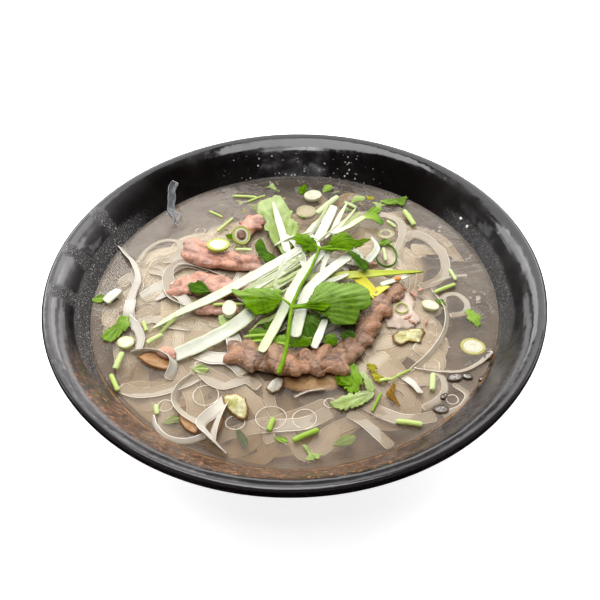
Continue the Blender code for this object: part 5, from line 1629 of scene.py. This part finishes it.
def loose_leaves():
    """Leaves that lie on the soup, on the heap and under the sprig, whole ones first, then scraps."""
    for row in (
        # name, CAD solid, kind, slot, base,
        # seed, ribs, teeth, tooth, lobe, pleat, wave, dome, pale, segments, rings, outline
        ("leaf_pale_back", "leaf_back_pale", "faded_leaf", "leaf_pale", (-3, 24, 7.6), 21, 5, 27, 1.1, 1.6,
         0.3, 0.9, 0.8, 0.5, 170, 15,
         [(-4, 22, 8), (-7.0, 28, 7.2), (-9.5, 34, 6.4), (-11.5, 40, 5.6), (-14.0, 46, 4.8), (-14.5, 53, 4.4),
         (-17.5, 60, 4.0), (-18.5, 66, 3.6), (-15.5, 71.5, 3.4), (-11, 72.5, 3.4), (-8, 76, 3.2),
         (-4.5, 72.5, 3.6), (-2.5, 67, 4), (1.0, 61, 4.6), (0.5, 54, 5.2), (3.5, 48, 6.0), (2.5, 40, 6.6),
         (0, 31, 7.2)]),
        ("leaf_dark_back", "leaf_back_dark", "deep_leaf", "leaf_green", (-7, 20.5, 7.8), 22, 3, 12, 0.8, 0.7,
         0.3, 0.6, 0.6, 0.0, 100, 10,
         [(-6.5, 20, 8), (-11, 19, 7.2), (-15, 21.5, 6.8), (-17.5, 28, 6.4), (-18.5, 34, 6.2),
         (-16, 38.5, 6.2), (-13.5, 33, 6.8), (-11, 26.5, 7.2)]),
        ("leaf_left_loose", "leaf_left", "pale_leaf", "leaf_pale", (-77, -9.5, 1.6), 24, 5, 22, 1.2, 0.7, 0.3,
         0.5, 0.4, 0.0, 120, 11,
         [(-89, -20.5, 0.8), (-86, -16, 1.2), (-83, -14, 1.5), (-82, -11, 1.6), (-80, -7.5, 1.6),
         (-77, -8.5, 1.6), (-75.5, -14.5, 1.8), (-78, -18.5, 1.8), (-81, -22.5, 1.4), (-84, -24.5, 1.1),
         (-87.5, -23, 0.9)]),
        ("leaf_cluster_main", "leaf_cluster", "bright_leaf", "leaf_pale", (27, -57, 2.0), 25, 5, 23, 1.3, 1.2,
         0.3, 1.3, 0.9, 0.3, 130, 13,
         [(19.6, -44.0, 2.4), (21.5, -42.2, 2.6), (24.8, -42.4, 2.6), (26.8, -44.0, 2.6), (28.2, -47.5, 2.5),
         (29.2, -51.5, 2.3), (28.6, -55.5, 2.1), (25.2, -58.6, 1.9), (21.3, -57.4, 1.9), (19.3, -53.5, 2.0),
         (18.4, -49.0, 2.2)]),
        ("leaf_light_long", "leaf_long_light", "faded_leaf", "leaf_pale", (34, -57.5, 1.6), 27, 3, 24, 1.1,
         1.0, 0.2, 0.7, 0.6, 0.5, 130, 11,
         [(13.6, -62.8, 1.2), (17.5, -60.4, 1.7), (21.5, -58.6, 1.9), (25.6, -57.8, 2.0), (30.0, -56.8, 2.0),
         (33.6, -57.4, 1.7), (32.0, -61.0, 1.5), (28.8, -63.8, 1.3), (23.4, -66.6, 1.1), (17.8, -67.0, 1.0),
         (14.4, -65.6, 1.0)]),
        ("leaf_cluster_side", None, "faded_leaf", "leaf_pale", (33.0, -58, 1.8), 26, 3, 14, 0.8, 0.5, 0.2,
         0.6, 0.3, 0.6, 90, 8,
         [(27.6, -46.8, 2.4), (29.6, -47.4, 2.5), (31.6, -50.5, 2.4), (33.4, -54.0, 2.2), (33.6, -57.6, 1.9),
         (30.4, -57.6, 1.9), (28.8, -52.5, 2.2)]),
        ("leaf_cluster_cap", None, "olive_leaf", "leaf_green", (33, -47.5, 1.8), 48, 3, 7, 0.4, 0.7, 0.2, 0.4,
         0.5, 0.0, 60, 7,
         [(30.6, -42.4, 1.9), (32.8, -41.8, 2.1), (35.2, -43.6, 2.0), (35.4, -46.4, 1.9), (33.4, -47.4, 1.9),
         (31.2, -45.4, 1.9)]),
        ("leaf_cluster_olive", None, "olive_leaf", "leaf_green", (40.6, -50.6, 1.4), 57, 3, 9, 0.6, 0.7, 0.2,
         0.5, 0.4, 0.0, 70, 7,
         [(32.6, -47.4, 1.7), (35.2, -47.8, 1.8), (38.2, -49.8, 1.6), (40.6, -50.6, 1.4), (38.6, -52.6, 1.4),
         (35.6, -52.8, 1.5), (33.4, -51.0, 1.6)]),
        ("brown_flake", None, "brown_flake", "leaf_green", (43.4, -65, 0.7), 49, 3, 5, 0.3, 0.2, 0.2, 0.5,
         0.3, 0.0, 70, 7,
         [(41.8, -52.6, 1.5), (40.2, -55.6, 1.4), (37.8, -58.8, 1.3), (40.0, -61.4, 1.0), (43.6, -65.2, 0.6),
         (42.6, -61.6, 0.9), (41.6, -58.0, 1.2), (42.6, -54.6, 1.4)]),
        ("leaf_spiky_back", "leaf_back_spiky", "pale_leaf", "leaf_green", (46, 70.5, 1.0), 30, 5, 16, 1.4,
         0.7, 0.3, 0.4, 0.3, 0.0, 100, 8,
         [(46, 71, 0.9), (50, 72.5, 1.2), (54.5, 72.5, 1.3), (58.5, 73.5, 1.3), (62.5, 75, 1.2),
         (61, 71.5, 1.2), (59, 67, 1.1), (54, 67.5, 1.1), (49, 68.5, 1.0)]),
        ("leaf_right_loose", "leaf_right", "pale_leaf", "leaf_pale", (79.5, -10.5, 0.7), 28, 5, 18, 1.1, 0.7,
         0.3, 0.4, 0.2, 0.0, 100, 8,
         [(79, -10.5, 0.6), (81.5, -9.5, 0.8), (84, -11.5, 0.8), (86, -14, 0.7), (85.5, -19, 0.6),
         (83, -20.5, 0.6), (81, -18.5, 0.6), (79, -14.5, 0.6)]),
        ("leaf_front_loose", "leaf_front", "faded_leaf", "leaf_pale", (2.5, -84, 1.1), 29, 3, 12, 0.7, 0.7,
         0.2, 0.4, 0.2, 0.0, 90, 8,
         [(1.5, -84, 1.0), (3.5, -84, 1.2), (5, -87, 1.1), (8, -88.3, 1.0), (10, -89, 0.8), (8.5, -91, 0.8),
         (5.5, -91.5, 0.8), (3, -91, 0.8), (3.6, -88, 1.0)]),
    ):
        leaf_sheet(*row)
    leaf("leaf_over_beef", "leaf_on_beef", "deep_leaf", (-39.5, 2.5, 5.0), (-50, 8, 5.0),
         46, 23)
    under_sprig = [(1.2, -15.8, 8.2), (5.5, -15.6, 8.4), (9.2, -16.8, 8.4), (14.2, -19.1, 8.2),
                    (15.6, -22.0, 7.8), (11.4, -25.0, 7.4), (9.0, -29.4, 6.8), (4.6, -29.6, 6.8),
                    (1.0, -27.3, 7.2), (0.4, -21.4, 7.8)]
    leaf_sheet("leaf_under", "leaf_under_sprig", "deep_leaf", "leaf_green", (2.5, -17, 7.6), 31, 7, 24, 1.1,
               0.8, 0.2, 0.7, 0.7, 0.5, 130, 11, under_sprig)
    small_leaf = (3, 13, 0.9, 0.9, 0.2, 0.8, 0.6, 0.4, 80, 8)  # from ribs to rings
    scrap = (3, 7, 0.6, 0.8, 0.1, 0.3, 0.2, 0.3, 48, 5)
    heap = [  # kind, seed, outline
        ("leaf", 50,
         [(-2.6, -29.0, 6.4), (2.6, -27.6, 6.8), (8.0, -29.2, 6.8), (7.4, -33.6, 6.2), (3.2, -35.0, 5.8),
         (-2.8, -34, 5.8)]),
        ("leaf", 51,
         [(12.6, -29.0, 6.6), (17.0, -27.6, 6.6), (19.2, -30.8, 6.4), (17.8, -34.4, 6.0),
         (13.2, -34.2, 6.2)]),
        ("deep_leaf", 52,
         [(-14.2, -20.0, 6.2), (-7.5, -17.8, 6.8), (-7.0, -23.0, 6.6), (-10.2, -26.0, 6.2),
         (-13.6, -24.4, 6.0)]),
        ("faded_leaf", 53,
         [(-35, -13, 4.4), (-30.5, -11, 4.6), (-25, -16, 4.4), (-26, -21, 4), (-31, -22, 3.8),
         (-34.5, -18, 4)]),
        ("deep_leaf", 54, [(14, -6, 8.6), (20, -4, 8.8), (24, -9, 8.4), (20, -14, 8), (15, -12, 8.2)]),
        ("deep_leaf", 55, [(-2, 10, 7.0), (4, 14, 8), (9, 9, 8.4), (5, 3, 7.8), (-1, 4, 7.2)]),
        ("leaf", 56, [(-14, -4, 6.2), (-8, -2, 7), (-5, -8, 7), (-10, -12, 6.4)]),
        ("leaf", 58,
         [(-21, -24, 5.2), (-15, -22.5, 5.8), (-10, -26, 6.0), (-13, -30, 5.4), (-19, -29.5, 5.0)]),
        ("bright_leaf", 59,
         [(-12, -29, 5.8), (-5, -27.5, 6.2), (-3.0, -31, 6.0), (-7, -34.5, 5.6), (-12, -33.5, 5.4)]),
        ("deep_leaf", 60,
         [(20, -26.5, 6.0), (25, -25.5, 6.2), (27.5, -29.5, 5.8), (24, -33, 5.4), (20.5, -31, 5.6)]),
    ]
    for index, (material, seed, outline) in enumerate(heap):
        slot = "leaf_pale" if material == "faded_leaf" else "leaf_green"
        leaf_sheet("leaf_heap_%d" % index, None, material, slot, outline[0], seed, *small_leaf, outline)
    bits = [  # x, y, size, height
        (-11, 87.5, 4.4, -0.7), (-8, 84.5, 3.0, -0.9), (20, 86, 5.0, -0.6), (24, 82, 4.0, -0.8),
        (33, 72, 4.6, -0.4), (37.5, 70, 3.4, -0.6), (-4, 76.8, 2.6, 0.1), (-21, 71.5, 4.2, -1.0),
        (-25, 69, 4.8, -1.2), (-18, 67.5, 3.6, -1.1), (-33.5, 52, 2.2, 0.2), (-27.5, 37, 2.4, 2.2),
        (-24, 36, 2.0, 2.4), (6, 59.5, 2.4, 1.0), (44, 62, 3.0, -0.5), (49, 40, 3.0, 0.4),
        (-31, 41, 2.6, 1.6), (30, 80, 3.2, -0.9), (-37, 73, 2.6, -0.4), (57, 66, 2.6, -0.5),
        (34.5, 73.5, 8.5, 0.3), (46, 68, 9.5, 0.2), (-19, 72, 10.0, -0.3), (19, 85, 8.0, 0.0),
        (-10.5, 87, 7.5, 0.0), (29, 66, 5.5, 0.2), (41.5, 75.5, 5.0, 0.1), (-27, 75, 5.5, -0.2),
    ]
    for index, (x, y, size, height) in enumerate(bits):
        outline = []
        for corner in range(7):
            angle = 0.7 * index + math.tau * corner / 7
            reach = size * (0.62 + 0.38 * math.sin(2.3 * corner + index))
            outline.append((x + 0.75 * reach * math.cos(angle), y + 0.5 * reach * math.sin(angle), height))
        material = "faded_leaf" if size > 5.0 else ("faded_leaf", "bright_leaf", "olive_leaf")[index % 3]
        leaf_sheet("leaf_bit_%02d" % index, None, material, "leaf_pale", outline[0], 70 + index, *scrap,
                   outline)
    more = [  # base, tip, spread, kind, seed
        ((5, 79, 0.8), (8, 87, 0.6), 44, "leaf", 34), ((17, 80, 0.6), (22, 86, 0.5), 40, "pale_leaf", 35),
        ((38, 60, 0.8), (47, 66, 0.7), 34, "pale_leaf", 36),
        ((-97, 3.5, 0.8), (-89, 4.0, 0.8), 40, "pale_leaf", 37),
        ((-60, -41, 0.9), (-53, -39, 1.3), 34, "leaf", 38),
        ((-46, -41, 0.5), (-38, -42, 0.5), 44, "faded_leaf", 39),
        ((-26, -72, -0.6), (-21, -83, -0.8), 20, "deep_leaf", 40),
        ((14, -83, -0.9), (24, -79, -1.1), 34, "pale_leaf", 41),
        ((-10, -79, 0.5), (-4, -82, 0.6), 30, "pale_leaf", 42),
        ((42, 36, 2.2), (49, 38, 2.2), 38, "pale_leaf", 43), ((-34, 48, 0.6), (-29, 45, 0.8), 44, "leaf", 44),
        ((66, -3, 1.2), (71, -6, 1.0), 30, "pale_leaf", 45),
        ((-57, -70, -0.2), (-48, -67, -0.1), 30, "faded_leaf", 46),
        ((24, -55, 2.6), (17, -49, 2.2), 40, "leaf", 47),
    ]
    for index, (base, tip, angle, material, seed) in enumerate(more):
        slot = "leaf_green" if material in ("leaf", "deep_leaf") else "leaf_pale"
        leaf("leaf_more_%02d" % index, None, material, base, tip, angle, seed)


# ---------------------------------------------------------------- small things and the broth

def thin_ring(name, x, y, wide, deep, thickness, segments=64):
    """The fine outline of a fat drop or a bubble on the surface."""
    sides = 6
    shape = Shape()
    for segment in range(segments):
        angle = math.tau * segment / segments
        wobble = 1.0 + 0.03 * noise.noise(Vector((math.cos(angle), math.sin(angle), x + y)))
        local = Vector((wide * math.cos(angle), deep * math.sin(angle), 0.0)) * 0.5 * MM * wobble
        for side in range(sides):
            around = math.tau * side / sides
            offset = local.normalized() * math.cos(around) * thickness * MM
            offset.z += 0.5 * thickness * MM * math.sin(around)
            shape.add(over_soup(x, y, 0.12) + local + offset)
    add_piece(name, shape, grid_faces(segments, sides, loop=True), "oil")


def lump(name, centre, size, turn, material, rough=0.0):
    """A small ball, its size and the height of its bumps in millimetres; turn in radians."""
    points, faces = blob(centre, [part * MM for part in size], turn)
    bumpy = [point + Vector((rough, rough, rough)) * MM * noise.noise(point * 900.0) for point in points]
    add_piece(name, Shape(bumpy), faces, material)


def small_things():
    """Fat drops, a scatter of bubbles, crumbs on the wall, brown beads and one orange bit."""
    drops = ((-39, -56, 11, 11), (-56, -61, 6.5, 6), (-11, -69, 13, 12), (3, -70, 10, 10), (-26, -71, 8, 7),
             (14, -62, 5, 5), (-47, 52, 5, 4), (66, -62, 5, 5))
    for index, (x, y, wide, deep) in enumerate(drops):
        thin_ring("fat_drop_%d" % index, x, y, wide, deep, 0.22)
    chance = random.Random(5)
    foams = ((58, -26, 5, 6), (78, 26, 3.5, 2), (70.5, 47, 4, 2.5), (86, -2, 1.6, 2.5))
    for index in range(52):
        x, y, wide, deep = foams[index % 4 if index > 12 else 0]
        x = chance.gauss(x, wide)
        y = chance.gauss(y, deep)
        size = chance.uniform(0.6, 1.4)
        thin_ring("bubble_%02d" % index, x, y, size, size, 0.12, 20)
    for index, (angle, height) in enumerate(((0.53, 68.0), (0.47, 67.4))):
        radius = inside_radius(height * MM) - 0.4 * MM
        place = Vector((radius * math.cos(angle), radius * math.sin(angle), height * MM))
        lump("crumb_%d" % index, place, (1.1, 0.6, 0.45), angle + 1.0, "crumb", rough=0.35)
    beads = ((68.8, -50.2, 7.5, 10), (74.1, -49.9, 5.0, -20), (60.4, -67.4, 7.0, -10), (62.6, -60.5, 4.0, 40),
             (85.3, -38.5, 5.5, 50), (80.0, -51.5, 3.0, 40))
    for index, (x, y, long, turn) in enumerate(beads):
        slice_piece("bead_%d" % index, None, (x, y, -0.6), long, 0.6 * long, 1.5, 1.0, turn, 0, 0.0,
                    60 + index, "bead")
    lump("orange_bit", over_soup(49.5, 6.8, 5.8), (1.8, 1.2, 0.9), 0.4, "carrot")


def contact_tree():
    """Places where pieces meet the soup's surface, to raise it there."""
    places = []
    for piece in bpy.context.collection.objects:
        if piece.type != "MESH" or piece.name.startswith(("glazed", "fat_drop", "bubble", "crumb")):
            continue
        if piece.hide_render or max(vertex.co.z for vertex in piece.data.vertices) < SOUP_LEVEL + 0.9 * MM:
            continue
        for vertex in piece.data.vertices:
            if abs(vertex.co.z - SOUP_LEVEL) < 0.35 * MM:
                places.append((vertex.co.x, vertex.co.y, 0.0))
    tree = kdtree.KDTree(len(places))
    for index, place in enumerate(places):
        tree.insert(place, index)
    tree.balance()
    return tree


def broth():
    """A closed body of broth: its wet top climbs what it touches, its underside is the dim depth."""
    touching = contact_tree()
    segments = 320
    edge = inside_radius(SOUP_LEVEL + 0.3 * MM) - 0.02 * MM
    radii = [edge * (step / 106) for step in range(1, 103)]
    radii = sorted(radii + [edge - gap * MM for gap in (2.2, 1.5, 1.0, 0.6, 0.3, 0.0)])
    shape = Shape()
    for point in turned_points([(radius, SOUP_LEVEL) for radius in radii], segments):
        radius = point.to_2d().length
        climb = 0.28 * MM * math.exp(-(max(edge - radius, 0.0) / (0.6 * MM)) ** 1.2)
        apart = touching.find((point.x, point.y, 0.0))[2]
        rise = 0.30 * MM * math.exp(-(apart / (1.0 * MM)) ** 1.5)
        sway = 0.035 * MM * noise.noise(Vector((point.x, point.y, 0.0)) * 75.0)
        shape.add(Vector((point.x, point.y, SOUP_LEVEL + max(climb, rise) + sway)))
    depths = (1.2, 3.0, 5.5, 8.0, 9.6)
    side = [(inside_radius(SOUP_LEVEL - depth * MM) - 0.3 * MM, SOUP_LEVEL - depth * MM) for depth in depths]
    shape.points += turned_points(side, segments)
    bed_radius = inside_radius(SOUP_LEVEL - MURK_DEPTH)
    bed = [(share * bed_radius, SOUP_LEVEL - MURK_DEPTH) for share in BED_SHARES]
    for point in turned_points(bed, segments):
        mound = math.exp(-(math.hypot(point.x + 4 * MM, point.y + 10 * MM) / (66 * MM)) ** 4)
        point.z += (noise.noise(Vector((point.x, point.y, 3.0)) * 50.0) + 4.5 * mound) * MM
        shape.add(point)
    rows = len(radii) + len(depths) + len(BED_SHARES)
    piece = add_piece("broth_body", shape, closed_faces(rows, segments), "broth_top", "broth")
    piece.data.materials.append(MATERIALS["broth_deep"])
    for face in piece.data.polygons:
        if face.center.z < SOUP_LEVEL - 0.3 * MM:
            face.material_index = 1


# ---------------------------------------------------------------- stage

def floor():
    """A plain pale floor that glows a little, so that the bowl's shadow stays faint."""
    reach = 4.0
    paint = Paint("studio_floor")
    tone = blend(cloud(paint.place(), 3.0), (0.90, 0.90, 0.90), (0.93, 0.93, 0.93))
    connect(paint.shader.inputs["Emission Color"], (1.0, 1.0, 1.0))
    connect(paint.shader.inputs["Emission Strength"], 0.8)
    mesh = bpy.data.meshes.new("studio_floor")
    corners = [(-reach, -reach, 0), (reach, -reach, 0), (reach, reach, 0), (-reach, reach, 0)]
    mesh.from_pydata(corners, [], [(0, 1, 2, 3)])
    mesh.materials.append(paint.finish(tone, 0.9))
    stage = bpy.data.objects.new("studio_floor", mesh)
    stage.location.z = -0.2 * MM
    stage.visible_glossy = False
    bpy.context.collection.objects.link(stage)


def soft_light(name, place, size, strength):
    """A white softbox aimed at the soup; strength is its radiance, whatever its size."""
    light = bpy.data.lights.new(name, "AREA")
    light.shape = "RECTANGLE"
    light.size, light.size_y = size
    light.energy = strength * math.pi * size[0] * size[1]
    lamp = bpy.data.objects.new(name, light)
    lamp.location = place
    aim = Vector((0.0, 0.0, SOUP_LEVEL)) - Vector(place)
    lamp.rotation_euler = aim.to_track_quat("-Z", "Y").to_euler()
    bpy.context.collection.objects.link(lamp)


def lights():
    """Softboxes behind the bowl, nested so that their reflections have soft edges, and weak fill."""
    for index, size in enumerate(((1.36, 0.50), (1.20, 0.44), (1.04, 0.38))):
        soft_light("back_softbox_%d" % index, (-0.04, 0.757, 0.98), size, 5.5 / 3)
    for index, grow in enumerate((1.12, 0.88)):
        soft_light("left_softbox_%d" % index, (-0.50, 0.85, 0.745), (0.84 * grow, 0.30 * grow), 9.0 / 2)
        soft_light("right_softbox_%d" % index, (0.52, 0.85, 0.745), (0.80 * grow, 0.27 * grow), 6.4 / 2)
    soft_light("low_back_panel", (0.0, 1.2, 0.36), (1.6, 0.30), 2.3)
    soft_light("top_softbox", (-0.10, -0.05, 1.15), (0.9, 0.7), 5.3)
    soft_light("front_top_strip", (-0.03, -0.50, 0.98), (0.34, 0.08), 8.0)
    soft_light("left_panel", (-1.0, 0.25, 0.35), (0.5, 0.5), 1.6)
    soft_light("right_panel", (1.0, 0.30, 0.30), (0.5, 0.5), 1.8)


def surroundings():
    """Light grey to the camera; to reflections a dark room, brighter high up at the back."""
    world = bpy.data.worlds.new("studio")
    world.use_nodes = True
    tree = world.node_tree
    axes = split(signal(tree, "TexCoord", output="Generated"))
    level = spread(axes[2], -0.02, 0.35, 0.02, 0.36) * spread(axes[1], -0.3, 0.8, 0.05, 1.0)
    colour = blend(level, (0.0, 0.0, 0.0), (1.0, 0.99, 0.97))
    colour = blend(signal(tree, "LightPath", output="Is Camera Ray"), colour, (0.90, 0.90, 0.90))
    connect(tree.nodes["Background"].inputs["Color"], colour)
    bpy.context.scene.world = world


def camera():
    """Looks down at the rim's middle from 43.8 degrees, a little rolled."""
    distance = 430.0 * MM
    lift = math.radians(43.81)
    roll = math.radians(-1.6)
    data = bpy.data.cameras.new("camera")
    data.lens = 55.9
    data.sensor_width = 36.0
    data.shift_x = 0.011
    data.shift_y = -0.0375
    data.clip_start = 0.01
    made = bpy.data.objects.new("camera", data)
    made.location = (0.0, -distance * math.cos(lift), BOWL_HEIGHT + distance * math.sin(lift))
    turn = Matrix.Rotation(math.pi / 2 - lift, 3, "X") @ Matrix.Rotation(roll, 3, "Z")
    made.rotation_euler = turn.to_euler()
    bpy.context.collection.objects.link(made)
    bpy.context.scene.camera = made


def main():
    make_materials()
    bowl()
    noodle_core()
    sunken_noodles()
    heap_noodles()
    feature_noodles()
    wall_noodle()
    beef()
    scallion_strips()
    scallion_slices()
    stalks()
    loose_leaves()
    sprig()
    broth()
    small_things()
    floor()
    lights()
    surroundings()
    camera()
    scene = bpy.context.scene
    scene.view_settings.view_transform = "Standard"
    scene.cycles.transparent_max_bounces = 40


main()
